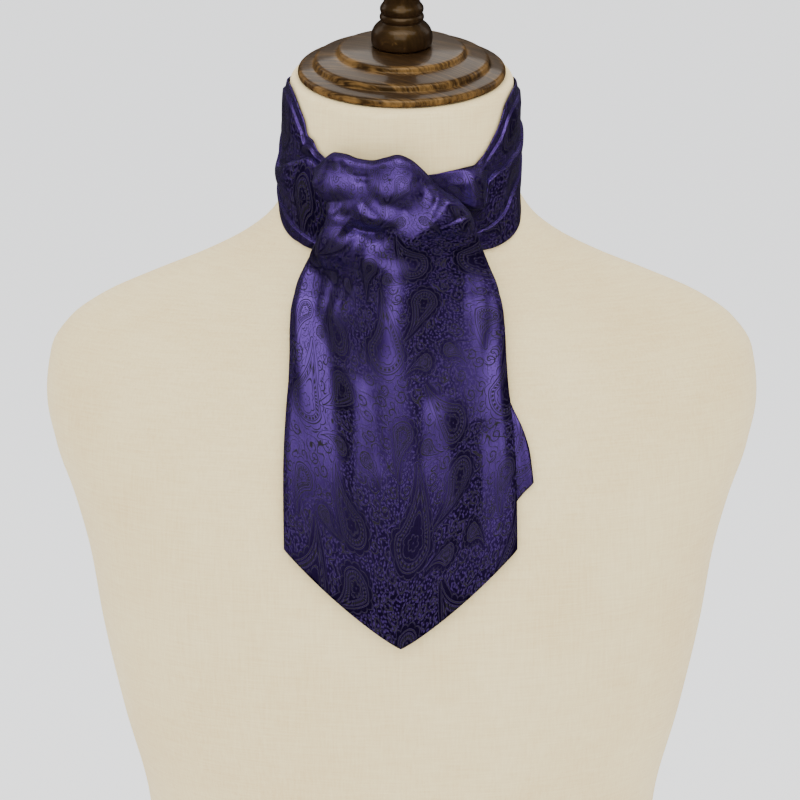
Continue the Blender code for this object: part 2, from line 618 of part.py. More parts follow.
def build():
    clear_scene()
    collection = bpy.data.collections.new("ascot_on_dress_form")
    bpy.context.scene.collection.children.link(collection)
    jacquard = surface("purple_jacquard", (0.085, 0.05, 0.25), 0.45, 0.3)
    linen = surface("cream_linen", (0.72, 0.66, 0.54), 0.9, 0.0)
    wood = surface("stained_wood", (0.10, 0.055, 0.03), 0.3, 0.0)

    form_body(linen, collection)
    turned("neck_cap", CAP_PROFILE, SEAM_GAP, CAP_STEPS, wood, collection)
    turned("finial", FINIAL_PROFILE, 2 * SEAM_GAP + CAP_HEIGHT, FINIAL_STEPS, wood, collection)

    # The pieces of the wrap meet at the ends of the stitched band, a seam's gap apart.
    half_gap = math.degrees(SEAM_GAP / 2 / (FORM_SECTIONS["side"][-1] + WRAP_GAP))
    for sides, at_start, at_end in (
        (RIGHT_SIDE, True, False),
        (LEFT_SIDE, False, True),
        (BAND_SIDE, True, True),
    ):
        sides["turn"][0] += half_gap if at_start else 0
        sides["turn"][-1] -= half_gap if at_end else 0
    for name, columns, rows, place, thickness in (
        ("fan_right", 22, WRAP_ROWS, wrap_place(RIGHT_SIDE, False, RIGHT_FOLDS), CLOTH),
        ("fan_left", 30, 2 * WRAP_ROWS, wrap_place(LEFT_SIDE, True), CLOTH),
        ("neck_band", 28, WRAP_ROWS, wrap_place(BAND_SIDE, False), BAND_CLOTH),
        ("under_blade", UNDER_COLUMNS, UNDER_ROWS, under_place, CLOTH),
        ("front_blade", BLADE_COLUMNS, BLADE_ROWS, blade_place, CLOTH),
    ):
        cloth_sheet(name, columns, rows, place, thickness, jacquard, collection)


build()
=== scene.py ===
# %% [markdown]
# # An ascot tie on a dress form
#
# The frame holds the solids of the part: the padded form, its turned wooden cap and finial, and the
# tie in five pieces. This lesson dresses them: linen over the form, lacquer over the wood, and for
# the tie a thin draped cloth with a woven paisley, which is bright where it faces the light.

# %% Load the frame
import math

import bpy
import numpy as np
from mathutils import Matrix, Vector


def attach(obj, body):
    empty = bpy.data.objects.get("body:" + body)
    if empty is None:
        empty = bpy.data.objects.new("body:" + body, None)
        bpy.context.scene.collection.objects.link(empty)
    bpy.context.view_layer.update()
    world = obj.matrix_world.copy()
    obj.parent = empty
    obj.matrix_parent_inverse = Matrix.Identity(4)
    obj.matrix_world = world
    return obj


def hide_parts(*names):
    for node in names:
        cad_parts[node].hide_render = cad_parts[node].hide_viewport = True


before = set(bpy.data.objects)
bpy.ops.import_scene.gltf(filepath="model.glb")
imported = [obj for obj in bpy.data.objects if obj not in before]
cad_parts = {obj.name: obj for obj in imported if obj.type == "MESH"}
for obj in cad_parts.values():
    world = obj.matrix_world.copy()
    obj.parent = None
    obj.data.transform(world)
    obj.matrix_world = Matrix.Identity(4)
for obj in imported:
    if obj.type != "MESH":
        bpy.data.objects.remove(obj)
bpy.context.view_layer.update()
bpy.ops.object.select_all(action="DESELECT")
MM = 0.001
NECK_TOP = 700.0  # mm, the middle of the neck's top above the floor
print("nodes:", sorted(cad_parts))

# %% [markdown]
# ## The camera
#
# The picture looks a little down on the throat, from the front. A long lens at one and a half
# metres keeps the wooden cap's ellipse as flat as a portrait lens does.

# %% Place the camera
CAMERA_PITCH = math.radians(14)
CAMERA_DISTANCE = 1.5
LENS_MM = 117.45  # on a sensor 36 mm wide
AIM = Vector((-0.001, 0.0, 0.5127))

camera = bpy.data.objects.new("camera", bpy.data.cameras.new("camera"))
bpy.context.scene.collection.objects.link(camera)
camera.data.sensor_width = 36
camera.data.lens = LENS_MM
away = Vector((0, -math.cos(CAMERA_PITCH), math.sin(CAMERA_PITCH)))
camera.location = AIM + CAMERA_DISTANCE * away
camera.rotation_euler = away.to_track_quat("Z", "Y").to_euler()
bpy.context.scene.camera = camera

# %% [markdown]
# ## Helpers for shapes
#
# Every soft shape here is read from a short table, such as the form's sections. A smooth curve that
# never overshoots its points joins the rows, so a straight stretch stays straight. The same numbers
# made the solids, so the cloth lies where the frame says.

# %% Read tables smoothly
def smooth(xs, ys, x):
    """The values at x of a smooth curve through the points (xs, ys)."""
    step, slope = np.diff(xs), np.diff(ys) / np.diff(xs)
    tangent = np.zeros(len(xs))
    before, after = slope[:-1], slope[1:]
    turning = before * after <= 0
    tangent[1:-1] = np.where(turning, 0, 2 * before * after / np.where(turning, 1, before + after))
    tangent[0], tangent[-1] = slope[0], slope[-1]
    x = np.clip(x, xs[0], xs[-1])
    i = np.clip(np.searchsorted(xs, x) - 1, 0, len(step) - 1)
    t, h = (x - xs[i]) / step[i], step[i]
    return (
        (1 + 2 * t) * (1 - t) ** 2 * ys[i]
        + t * (1 - t) ** 2 * h * tangent[i]
        + t * t * (3 - 2 * t) * ys[i + 1]
        + t * t * (t - 1) * h * tangent[i + 1]
    )


def table(names, rows):
    return np.array(rows, dtype=[(name, float) for name in names.split()])


def column(rows, by, name, x):
    return smooth(rows[by], rows[name], x)


def ease(t):
    """Goes smoothly from 0 to 1 as t does."""
    t = np.clip(t, 0, 1)
    return t * t * (3 - 2 * t)


# %% [markdown]
# ## Helpers for materials
#
# Colours are written as a designer reads them, in sRGB hex, and one function turns them linear. One
# more function adds any node with its settings and links.

# %% Colours and nodes
def linear(hex_colour):
    values = [int(hex_colour[i : i + 2], 16) / 255 for i in (1, 3, 5)]
    return (*[v / 12.92 if v <= 0.04045 else ((v + 0.055) / 1.055) ** 2.4 for v in values], 1)


def add(tree, kind, *values, **named):
    """A node of one kind, such as "Math ADD". Values fill its sockets in turn. A name in small
    letters is one of the node's own settings, and one with a capital is a socket. Where a socket
    is given a node, it is linked to that node's first output."""
    kind, _, operation = kind.partition(" ")
    node = tree.nodes.new("ShaderNode" + kind)
    if operation:
        node.operation = operation
    for name, value in [*enumerate(values), *named.items()]:
        if isinstance(name, str) and name[0].islower():
            setattr(node, name, value)
            continue
        socket = node.inputs[name.replace("_", " ") if isinstance(name, str) else name]
        if isinstance(value, bpy.types.Node):
            value = value.outputs[0]
        if isinstance(value, bpy.types.NodeSocket):
            tree.links.new(value, socket)
        else:
            socket.default_value = value
    return node


def material(name):
    made = bpy.data.materials.new(name)
    made.use_nodes = True
    return made, made.node_tree, made.node_tree.nodes["Principled BSDF"]


# %% [markdown]
# ## The padded form
#
# A display form is papier-mâché or foam under a stretched linen cover. Its surface is given as a
# distance from the neck's axis: a squared ellipse at each height. A grid of points is bent round it
# and its seam is merged, which gives an even, smooth skin to which the cloth can then be offset.

# %% The form's sections
FORM_SECTIONS = table(
    "z side front back power",
    [
        (0.0, 164.0, 102.0, 108.0, 2.40),
        (60.0, 168.0, 104.0, 111.0, 2.40),
        (130.0, 163.0, 104.0, 105.0, 2.35),
        (190.0, 151.0, 102.0, 93.0, 2.30),
        (235.0, 146.0, 101.0, 88.0, 2.30),
        (280.0, 150.0, 104.0, 90.0, 2.30),
        (335.0, 163.0, 110.0, 98.0, 2.35),
        (390.0, 174.0, 113.0, 106.0, 2.40),
        (430.0, 180.0, 112.0, 109.0, 2.40),
        (462.0, 188.0, 108.0, 109.0, 2.40),
        (492.0, 198.0, 102.0, 107.0, 2.35),
        (520.0, 203.0, 93.5, 104.0, 2.25),
        (545.0, 200.0, 84.0, 99.0, 2.10),
        (562.0, 189.0, 76.5, 95.0, 1.90),
        (576.0, 169.0, 70.5, 91.0, 1.72),
        (588.0, 142.0, 65.0, 86.5, 1.60),
        (600.0, 112.0, 61.0, 81.0, 1.56),
        (612.0, 88.0, 59.5, 75.5, 1.62),
        (624.0, 73.0, 60.0, 70.5, 1.80),
        (638.0, 65.0, 61.0, 66.5, 1.95),
        (655.0, 62.5, 61.8, 63.5, 2.00),
        (680.0, 62.0, 62.2, 62.5, 2.00),
        (700.0, 62.5, 62.5, 62.5, 2.00),
    ],
)
# How far the front of a level ring dips, so that the rings lean with the neck.
RING_DIP = table(
    "z dip",
    [(0, 0), (492, 0), (516, 1), (554, 5), (584, 12), (602, 17), (619, 20), (634, 19.5)]
    + [(655, 17), (672, 15), (688, 13.5), (700, 13.3)],
)
FLOOR_EDGE = 6.0  # mm, the rounding of the form's foot
RIM_EDGE = 4.0  # mm, the rounding of the neck's rim


def form_radius(turn, z):
    """How far the form's surface is from the neck's axis, at an angle and a height."""
    side, power = column(FORM_SECTIONS, "z", "side", z), column(FORM_SECTIONS, "z", "power", z)
    front, back = column(FORM_SECTIONS, "z", "front", z), column(FORM_SECTIONS, "z", "back", z)
    deep = np.where(np.cos(turn) > 0, front, back)
    across, along = np.abs(np.sin(turn)) / side, np.abs(np.cos(turn)) / deep
    return (across**power + along**power) ** (-1 / power)


def off_form(turn, z, gap):
    """The radius at which a sheet lies a gap off the form, measured square to its surface."""
    step = 0.5  # mm up, and about as much round
    turn_step = step / 60
    radius = form_radius(turn, z)
    up = (form_radius(turn, z + step) - form_radius(turn, z - step)) / (2 * step)
    ahead, behind = form_radius(turn + turn_step, z), form_radius(turn - turn_step, z)
    round_it = (ahead - behind) / (2 * turn_step * radius)
    return radius + gap * np.sqrt(1 + up**2 + round_it**2)


def point(turn, radius, z):
    return np.stack([radius * np.sin(turn), -radius * np.cos(turn), z], axis=-1)


# %% [markdown]
# ## From a flat grid to a draped skin
#
# Cloth is cut flat, so each skin starts as Blender's flat grid. A function says where each point of
# the flat piece goes, and the grid's own UV map is rewritten in metres of real cloth, so the woven
# pattern keeps its size wherever the cloth bends or bunches.

# %% Drape a grid
def drape(name, columns, rows, place, cloth_size=(1, 1)):
    """A grid laid out by a function of shares across and down. Its UV map is in metres of cloth."""
    bpy.ops.object.select_all(action="DESELECT")
    bpy.ops.mesh.primitive_grid_add(x_subdivisions=columns, y_subdivisions=rows, size=1)
    skin = bpy.context.object
    skin.name = name
    flat = np.array([vertex.co for vertex in skin.data.vertices])
    across, down = flat[:, 0] + 0.5, 0.5 - flat[:, 1]
    skin.data.vertices.foreach_set("co", (place(across, down) * MM).ravel())
    corners = np.array([loop.vertex_index for loop in skin.data.loops])
    sizes = np.stack([across * cloth_size[0], -down * cloth_size[1]], axis=1)
    skin.data.uv_layers.active.data.foreach_set("uv", sizes[corners].ravel())
    skin.data.update()
    return skin


def thicken(skin, thickness):
    """Gives a skin its wall, to both sides alike."""
    wall = skin.modifiers.new("wall", "SOLIDIFY")
    wall.thickness = thickness * MM
    wall.offset = 0
    wall.use_even_offset = False
    bpy.context.view_layer.objects.active = skin
    bpy.ops.object.modifier_apply(modifier=wall.name)
    skin.data.shade_smooth()
    return skin


def dress(piece, slot, finish, *nodes):
    """The piece gets its material, rides on the body and stands for the plain solids."""
    piece.data.materials.clear()
    piece.data.materials.append(finish)
    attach(piece, "root")
    if nodes:
        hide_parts(*nodes)
    print(piece.name, len(piece.data.polygons), "faces")
    return piece


# %% Skin the form
FORM_AROUND = 180  # faces round the form
FORM_UP = 200
EDGE_ROWS = 0.03  # share of the rows on each of its two rounded edges
FORM_COVER = (0.9, 0.75)  # metres round and up


def form_place(u, v):
    """Points round (u) and up (v) the form. The first and last rows turn in over the edges."""
    turn = u * 2 * math.pi
    rim = np.clip((v - 1 + EDGE_ROWS) / EDGE_ROWS, 0, 1) * math.pi / 2
    body = np.clip((v - EDGE_ROWS) / (1 - 2 * EDGE_ROWS), 0, 1)
    middle = FLOOR_EDGE + body * (NECK_TOP - RIM_EDGE - FLOOR_EDGE)
    dip = column(RING_DIP, "z", "dip", middle)
    foot = np.clip(1 - v / EDGE_ROWS, 0, 1) * math.pi / 2
    inset = FLOOR_EDGE * (1 - np.cos(foot)) + RIM_EDGE * (1 - np.cos(rim))
    lift = RIM_EDGE * np.sin(rim) - FLOOR_EDGE * np.sin(foot)
    shrink = 1 - inset / FORM_SECTIONS["front"][-1] * (rim > 0)
    z = middle - dip * np.cos(turn) * shrink + lift
    radius = form_radius(turn, middle - dip * np.cos(turn)) - inset
    return point(turn, radius, z)


linen_form = drape("linen_form", FORM_AROUND, FORM_UP, form_place, FORM_COVER)
bpy.ops.object.mode_set(mode="EDIT")
bpy.ops.mesh.select_all(action="SELECT")
bpy.ops.mesh.remove_doubles(threshold=0.02 * MM)
bpy.ops.mesh.select_all(action="DESELECT")
bpy.ops.mesh.select_mode(type="EDGE")
bpy.ops.mesh.select_non_manifold()
bpy.ops.mesh.edge_face_add()
bpy.ops.mesh.select_all(action="SELECT")
bpy.ops.mesh.normals_make_consistent(inside=False)
bpy.ops.object.mode_set(mode="OBJECT")
linen_form.data.shade_smooth()
linen_form.data.set_sharp_from_angle(angle=math.radians(60))
linen_form.visible_glossy = False  # the satin's dark folds don't mirror the pale form

# %% [markdown]
# ## Linen
#
# Linen is a plain weave of uneven flax yarns: here and there a thick yarn, a slub, runs along the
# cloth. It is matte, so it is nearly all colour and a little bump. The threads are under half a
# millimetre apart, too fine for the picture, so they are drawn about twice as coarse.

# %% Make the linen
linen, tree, shader = material("natural_linen")
YARN_MM = 0.9  # drawn, where real yarns are 0.45 mm apart
NECK_MM = 62  # the radius at which the warp has that spacing
place = add(tree, "TexCoord").outputs["Object"]
axes = add(tree, "SeparateXYZ", Vector=place)
turn = add(tree, "Math ARCTAN2", axes.outputs["X"], axes.outputs["Y"])
weft = add(tree, "Math MULTIPLY", axes.outputs["Z"], 2 * math.pi / (YARN_MM * MM))
warp = add(tree, "Math MULTIPLY", turn, 2 * math.pi * NECK_MM / YARN_MM)
weave = add(tree, "Math MULTIPLY", add(tree, "Math SINE", weft), add(tree, "Math SINE", warp))
stretched = add(tree, "Mapping", Vector=place, Scale=(900, 900, 60))
slubs_up = add(tree, "TexNoise", Vector=stretched, Scale=1, Detail=3, Roughness=0.6)
stretched = add(tree, "Mapping", Vector=place, Scale=(60, 60, 1100))
slubs_round = add(tree, "TexNoise", Vector=stretched, Scale=1, Detail=3, Roughness=0.6)
clouds = add(tree, "TexNoise", Vector=place, Scale=14, Detail=3, Roughness=0.55)
yarns = add(tree, "Math ADD", slubs_up, slubs_round)
half_yarns = add(tree, "Math MULTIPLY", yarns, 0.5)
shade = add(tree, "Math MULTIPLY_ADD", clouds, 0.5, half_yarns)
FLAX = ((0.45, "#eccf93"), (0.95, "#ffebb3"))  # from the darkest yarns to the palest
ramp = add(tree, "ValToRGB", Fac=shade)
for stop, (position, colour) in zip(ramp.color_ramp.elements, FLAX):
    stop.position, stop.color = position, linear(colour)
height = add(tree, "Math MULTIPLY_ADD", weave, 0.35, yarns)
relief = add(tree, "Bump", Height=height, Strength=0.25, Distance=0.3 * MM)
tree.links.new(ramp.outputs["Color"], shader.inputs["Base Color"])
tree.links.new(relief.outputs["Normal"], shader.inputs["Normal"])
shader.inputs["Roughness"].default_value = 0.85
shader.inputs["Specular IOR Level"].default_value = 0.25
shader.inputs["Sheen Weight"].default_value = 0.15
dress(linen_form, "cream_linen", linen, "form_body")

# %% [markdown]
# ## The turned cap and finial
#
# Both are turned on a lathe, so each is one circle, extruded and scaled ring by ring up its
# profile. Two rings close together keep an edge crisp when the surface is subdivided.

# %% Turn the wood
NECK_LEAN = math.radians(12)
CAP_PROFILE = table(
    "radius height",
    [(56.6, 0.3), (57.7, 0.6), (58.0, 1.6), (58.0, 3.0), (57.6, 4.1), (56.6, 4.8), (53.0, 5.5)]
    + [(49.8, 6.1), (49.2, 6.4), (49.1, 6.9), (48.9, 8.4), (48.6, 9.2), (47.8, 9.9), (46.0, 10.4)]
    + [(41.0, 11.4), (36.8, 12.2), (36.0, 12.6), (35.8, 13.2), (35.6, 14.4), (35.2, 15.2)]
    + [(34.2, 15.7), (32.0, 16.0), (25.0, 16.5), (17.0, 16.8), (8.0, 16.9), (2.0, 16.9)],
)
FINIAL_PROFILE = table(
    "radius height",
    [(16.2, 17.2), (16.9, 18.4), (17.2, 20.8), (17.0, 24.2), (16.2, 26.4), (14.6, 28.6)]
    + [(12.2, 30.4), (11.3, 31.0), (11.3, 31.4), (12.2, 32.0), (12.5, 33.3), (12.2, 34.6)]
    + [(11.2, 35.3), (11.2, 35.8), (12.0, 36.4), (12.3, 38.0), (12.0, 39.4), (11.0, 40.4)]
    + [(10.1, 41.8), (9.6, 44.0), (9.7, 46.6), (11.4, 50.6), (12.9, 54.2), (13.3, 56.4)]
    + [(12.9, 59.4), (11.6, 62.4), (9.2, 64.8), (5.4, 66.2), (2.0, 66.5)],
)


def turn_wood(name, profile, vertices=96):
    """Extrudes and scales a circle up its profile, closes both ends and leans it with the neck."""
    bpy.ops.object.select_all(action="DESELECT")
    bpy.ops.mesh.primitive_circle_add(vertices=vertices, radius=profile["radius"][0] * MM)
    wood = bpy.context.object
    wood.name = name
    bpy.ops.object.mode_set(mode="EDIT")
    bpy.ops.mesh.select_mode(type="VERT")
    bpy.ops.mesh.select_all(action="SELECT")
    bpy.ops.transform.translate(value=(0, 0, profile["height"][0] * MM))
    for before, after in zip(profile[:-1], profile[1:]):
        step = (after["height"] - before["height"]) * MM
        bpy.ops.mesh.extrude_edges_move(TRANSFORM_OT_translate={"value": (0, 0, step)})
        ratio = after["radius"] / before["radius"]
        middle = (0, 0, after["height"] * MM)
        bpy.ops.transform.resize(value=(ratio, ratio, 1), center_override=middle)
    bpy.ops.mesh.merge(type="CENTER")
    bpy.ops.mesh.select_all(action="DESELECT")
    bpy.ops.mesh.select_non_manifold()
    bpy.ops.mesh.edge_face_add()
    bpy.ops.mesh.inset(thickness=1.5 * MM)
    bpy.ops.mesh.select_all(action="SELECT")
    bpy.ops.mesh.normals_make_consistent(inside=False)
    bpy.ops.object.mode_set(mode="OBJECT")
    lift = Matrix.Translation((0, 0, NECK_TOP * MM))
    wood.data.transform(lift @ Matrix.Rotation(NECK_LEAN, 4, "X"))
    rounding = wood.modifiers.new("rounding", "SUBSURF")
    rounding.levels = rounding.render_levels = 1
    bpy.ops.object.modifier_apply(modifier=rounding.name)
    wood.data.shade_smooth()
    return wood


cap = turn_wood("turned_cap", CAP_PROFILE)
finial = turn_wood("turned_finial", FINIAL_PROFILE, 64)

# %% [markdown]
# ## Stained and lacquered wood
#
# A light, ring-porous wood such as ash was stained dark brown and lacquered. The stain is rubbed
# back on the edges of the steps, and gold shows there and in the shine. The gold on the edges is
# a lighter painted colour, partly for that wear and partly as a painted highlight for their glints.
# The grain runs across the cap as straight streaks, since the blank was a plank. A tinted specular
# gives the golden shine, and a thin clear coat over it gives the sharp, colourless one.

# %% Make the wood
stained_ash, tree, shader = material("stained_ash")
GRAIN_MM = 1.3  # from streak to streak
FINIAL_FROM = 0.017  # metres above the neck's top
RUBBED_AND_GLINT_MM = 3.4  # to each side of an edge
place = add(tree, "TexCoord").outputs["Object"]
# Places in the lathe's own frame: straight up, with the axis in the middle.
upright = add(tree, "Mapping", vector_type="TEXTURE", Vector=place, Rotation=(NECK_LEAN, 0, 0))
upright.inputs["Location"].default_value = (0, 0, NECK_TOP * MM)
board = add(tree, "Mapping", Vector=upright, Rotation=(0, 0, 0.5))
warped = add(tree, "TexNoise", Vector=board, Scale=18, Detail=2)
along = add(tree, "Mapping", Vector=board, Scale=(10, 1000 / GRAIN_MM, 120))
drift = add(tree, "VectorMath MULTIPLY_ADD", warped.outputs["Color"], (1.2, 2.5, 1.2), along)
streaks = add(tree, "TexNoise", Vector=drift, Scale=1, Detail=5, Roughness=0.65)
pores = add(tree, "Mapping", Vector=board, Scale=(50, 2600, 500))
fine = add(tree, "TexNoise", Vector=pores, Scale=1, Detail=2, Roughness=0.5)
blotches = add(tree, "TexNoise", Vector=place, Scale=30, Detail=3)
grain = add(tree, "Math MULTIPLY", streaks, 0.75)
grain = add(tree, "Math MULTIPLY_ADD", fine, 0.35, grain)
grain = add(tree, "Math MULTIPLY_ADD", blotches, 0.3, grain)
# The stain is rubbed off in patches along the edges of the cap's steps, and the lighter colour
# there is also a painted highlight for the glints those edges catch.
lathe_axes = add(tree, "SeparateXYZ", Vector=upright)
flat_place = add(tree, "CombineXYZ", X=lathe_axes.outputs["X"], Y=lathe_axes.outputs["Y"])
from_axis = add(tree, "VectorMath LENGTH", flat_place).outputs["Value"]
rubbed_and_glint = 0.0
for edge_radius in (57.6, 48.8, 35.8):  # mm, as in the cap's profile
    apart = add(tree, "Math ABSOLUTE", add(tree, "Math SUBTRACT", from_axis, edge_radius * MM))
    near_edge = add(tree, "MapRange", Value=apart, From_Max=RUBBED_AND_GLINT_MM * MM, To_Min=1.0, To_Max=0.0)
    rubbed_and_glint = add(tree, "Math MAXIMUM", rubbed_and_glint, near_edge)
patches = add(tree, "TexNoise", Vector=place, Scale=75, Detail=3)
patches = add(tree, "MapRange", Value=patches, From_Min=0.3, From_Max=0.62)
rubbed_and_glint = add(tree, "Math MULTIPLY", rubbed_and_glint, patches)
# Lighter colour on the step edges: rubbed wear and a painted highlight together.
grain = add(tree, "Math MULTIPLY_ADD", rubbed_and_glint, 0.24, grain)
# The finial took more of the stain than the cap did.
on_finial = add(tree, "Math GREATER_THAN", lathe_axes.outputs["Z"], FINIAL_FROM)
grain = add(tree, "Math MULTIPLY_ADD", on_finial, -0.12, grain)
STAINS = ((0.44, "#1a1009"), (0.72, "#2b1c10"), (0.94, "#71542e"))  # from the pores up
stain = add(tree, "ValToRGB", Fac=grain)
stain.color_ramp.elements.new(STAINS[1][0])  # between the two it has
for stop, (position, colour) in zip(stain.color_ramp.elements, STAINS):
    stop.position, stop.color = position, linear(colour)
relief = add(tree, "Bump", Height=grain, Strength=0.15, Distance=0.3 * MM)
tree.links.new(stain.outputs["Color"], shader.inputs["Base Color"])
tree.links.new(relief.outputs["Normal"], shader.inputs["Normal"])
shader.inputs["Roughness"].default_value = 0.4
# Gold shows in the shine of the stain, under the colourless shine of the lacquer.
shader.inputs["Specular IOR Level"].default_value = 1.0
shader.inputs["Specular Tint"].default_value = linear("#d9ab5f")
shader.inputs["Coat Weight"].default_value = 0.38
shader.inputs["Coat Roughness"].default_value = 0.1
dress(cap, "stained_wood", stained_ash, "neck_cap")
dress(finial, "stained_wood", stained_ash, "finial")

# %% [markdown]
# ## A place on the throat
#
# Folds are laid out in millimetres across the front and down from the neck's top, as a tailor would
# chalk them. Round the neck the distance runs along the skin, and on the chest it runs straight
# across.

# %% Folds listed one by one
FOLD = "x1 z1 x2 z2 x3 z3 out left_wide right_wide"
FOLD_POINTS = 33  # how finely the line of a fold is followed
FOLD_START = 0.25  # share of its length over which a fold rises
FOLD_END = 0.35  # and over which it fades
CLOTH_OFF = 14  # mm off the form, where places across are measured
CHEST_FROM = 90  # mm down, where a place turns from round the neck to straight across
CHEST_OVER = 70  # and the depth over which it does so


def turn_of(across, z):
    radius = form_radius(0 * across, z) + CLOTH_OFF
    on_chest = ease((NECK_TOP - CHEST_FROM - z) / CHEST_OVER)
    return (1 - on_chest) * across / radius + on_chest * np.arctan(across / radius)


def fold_height(folds, across, height):
    """What ridges (out is positive) and troughs add. Each is a smooth curve through three points,
    with its own width on each side, and fades at both ends."""
    total = np.zeros(np.broadcast(across, height).shape)
    t = np.linspace(0, 1, FOLD_POINTS)
    for fold in folds:
        bend_x = 2 * fold["x2"] - (fold["x1"] + fold["x3"]) / 2
        bend_z = 2 * fold["z2"] - (fold["z1"] + fold["z3"]) / 2
        line_x = (1 - t) ** 2 * fold["x1"] + 2 * t * (1 - t) * bend_x + t**2 * fold["x3"]
        line_z = (1 - t) ** 2 * fold["z1"] + 2 * t * (1 - t) * bend_z + t**2 * fold["z3"]
        reach = 3 * max(fold["left_wide"], fold["right_wide"])
        near = (across > line_x.min() - reach) & (across < line_x.max() + reach)
        near &= (height > line_z.min() - reach) & (height < line_z.max() + reach)
        x, z = across[near], height[near]
        apart = np.hypot(x[:, None] - line_x, z[:, None] - line_z)
        nearest = apart.argmin(axis=-1)
        run_x, run_z = np.gradient(line_x)[nearest], np.gradient(line_z)[nearest]
        side = (x - line_x[nearest]) * run_z - (z - line_z[nearest]) * run_x
        wide = np.where(side > 0, fold["left_wide"], fold["right_wide"])
        # The true distance to the curve, not to its nearest sample, keeps the ridge smooth.
        length = np.hypot(run_x, run_z)
        past = ((x - line_x[nearest]) * run_x + (z - line_z[nearest]) * run_z) / length**2
        past = np.clip(past, -0.5, 0.5)
        distance = np.hypot(x - line_x[nearest] - past * run_x, z - line_z[nearest] - past * run_z)
        along = np.clip((nearest + past) / (len(t) - 1), 0, 1)
        taper = ease(along / FOLD_START + 0.25) * ease((1 - along) / FOLD_END)
        total[near] += fold["out"] * taper * np.exp(-((distance / wide) ** 2))
    return total


# %% [markdown]
# ## The wrap round the neck
#
# Behind the neck the tie is stitched into three lapped pleats, and on each side the pleats open
# into a fan. A lapped pleat steps out at its upper edge and leans back under the next one. The rows
# of the grid keep to the pleats' edges, so each step stays crisp.

# %% The wrap's tables
WRAP = "turn upper lower first second third lap billow"
RIGHT_SIDE = table(
    WRAP,
    [
        (-104.0, -3.0, -52.0, 0.09, 0.40, 0.70, 1.3, 1.2),
        (-88.0, -3.0, -63.0, 0.08, 0.58, 0.86, 1.6, 3.2),
        (-76.0, -4.0, -71.0, 0.08, 0.67, 0.90, 2.2, 3.4),
        (-69.0, -8.0, -77.0, 0.08, 0.58, 0.90, 2.6, 3.4),
        (-61.6, -16.0, -83.0, 0.09, 0.43, 0.90, 2.8, 3.4),
        (-56.8, -22.5, -86.0, 0.09, 0.33, 0.90, 2.8, 3.4),
        (-54.4, -29.0, -87.0, 0.08, 0.23, 0.90, 2.7, 3.4),
        (-50.0, -31.2, -89.0, 0.07, 0.17, 0.91, 2.4, 3.2),
        (-46.5, -36.2, -90.0, 0.05, 0.12, 0.92, 1.8, 2.8),
        (-42.0, -39.2, -91.0, 0.04, 0.12, 0.93, 1.4, 2.3),
        (-38.0, -42.0, -91.0, 0.04, 0.14, 0.94, 1.0, 1.6),
        (-30.0, -46.0, -91.0, 0.04, 0.16, 0.95, 0.6, 0.4),
        (-18.0, -50.0, -91.0, 0.04, 0.18, 0.96, 0.6, 0.0),
    ],
)
LEFT_SIDE = table(
    WRAP,
    [
        (5.0, -47.5, -91.0, 0.05, 0.12, 0.80, 1.3, 0.0),
        (13.0, -47.0, -91.0, 0.05, 0.11, 0.80, 1.3, 0.0),
        (18.0, -46.5, -91.0, 0.05, 0.20, 0.80, 1.3, 0.0),
        (26.0, -45.5, -91.0, 0.05, 0.37, 0.80, 1.3, 0.0),
        (32.0, -44.6, -91.0, 0.06, 0.44, 0.80, 1.3, 0.0),
        (38.0, -43.8, -91.0, 0.07, 0.47, 0.80, 1.3, 0.2),
        (43.0, -40.0, -90.5, 0.08, 0.47, 0.79, 1.3, 0.6),
        (46.5, -36.6, -90.0, 0.09, 0.30, 0.78, 2.2, 1.2),
        (50.0, -32.5, -89.0, 0.09, 0.30, 0.77, 2.4, 1.8),
        (57.0, -24.0, -86.0, 0.10, 0.37, 0.75, 2.3, 2.4),
        (65.0, -12.0, -80.0, 0.10, 0.45, 0.73, 2.1, 3.0),
        (76.0, -6.0, -67.0, 0.10, 0.52, 0.76, 1.9, 3.2),
        (88.0, -4.0, -58.0, 0.09, 0.46, 0.73, 1.7, 2.6),
        (104.0, -3.0, -52.0, 0.09, 0.40, 0.70, 1.3, 1.2),
    ],
)
BAND_SIDE = table(
    WRAP,
    [
        (104.0, -3.0, -52.0, 0.09, 0.40, 0.70, 1.3, 1.2),
        (140.0, 0.0, -47.0, 0.09, 0.38, 0.68, 1.3, 0.6),
        (180.0, 1.5, -45.0, 0.09, 0.38, 0.68, 1.3, 0.4),
        (220.0, 0.0, -47.0, 0.09, 0.38, 0.68, 1.3, 0.6),
        (256.0, -3.0, -52.0, 0.09, 0.40, 0.70, 1.3, 1.2),
    ],
)
PUFF = table(
    "across crease out",
    [(22.0, -53.0, 0.0), (28.0, -56.5, 1.0), (34.0, -59.8, 2.6), (40.0, -62.8, 5.0)]
    + [(45.0, -64.8, 9.0), (49.0, -65.4, 9.6), (54.0, -65.0, 5.6), (61.0, -62.5, 0.0)],
)
WRAP_GAP = 1.2  # mm, the middle of the cloth off the form
LEAST_GAP = 0.9  # mm, in the deepest crease
PLEAT_STEP = 1.3  # mm, how far a pleat stands out at its folded edge
PLEAT_EDGE = 1.1  # mm, the width of that edge
LAST_PLEAT_END = 1.12  # the third pleat would end this far down, in heights of the wrap
BILLOW_POWER = 0.7  # under 1 the wrap billows full, over 1 it would billow in its middle only
PUFF_UNDERSIDE = 3.0  # mm, over which the puff turns back under itself
PLEATS_FROM = 36  # on the puff's side the pleats begin at this angle from the front
PLEATS_OVER = 14  # and are full this much further round
WRAP_MIDDLE = 64  # mm, the radius at which places across the wrap are measured
HEM_FREE = 0.06  # share of the height at each edge over which creases fade
END_FREE = 0.04  # and share of the length at each end
ROWS_PER_STEP = 5


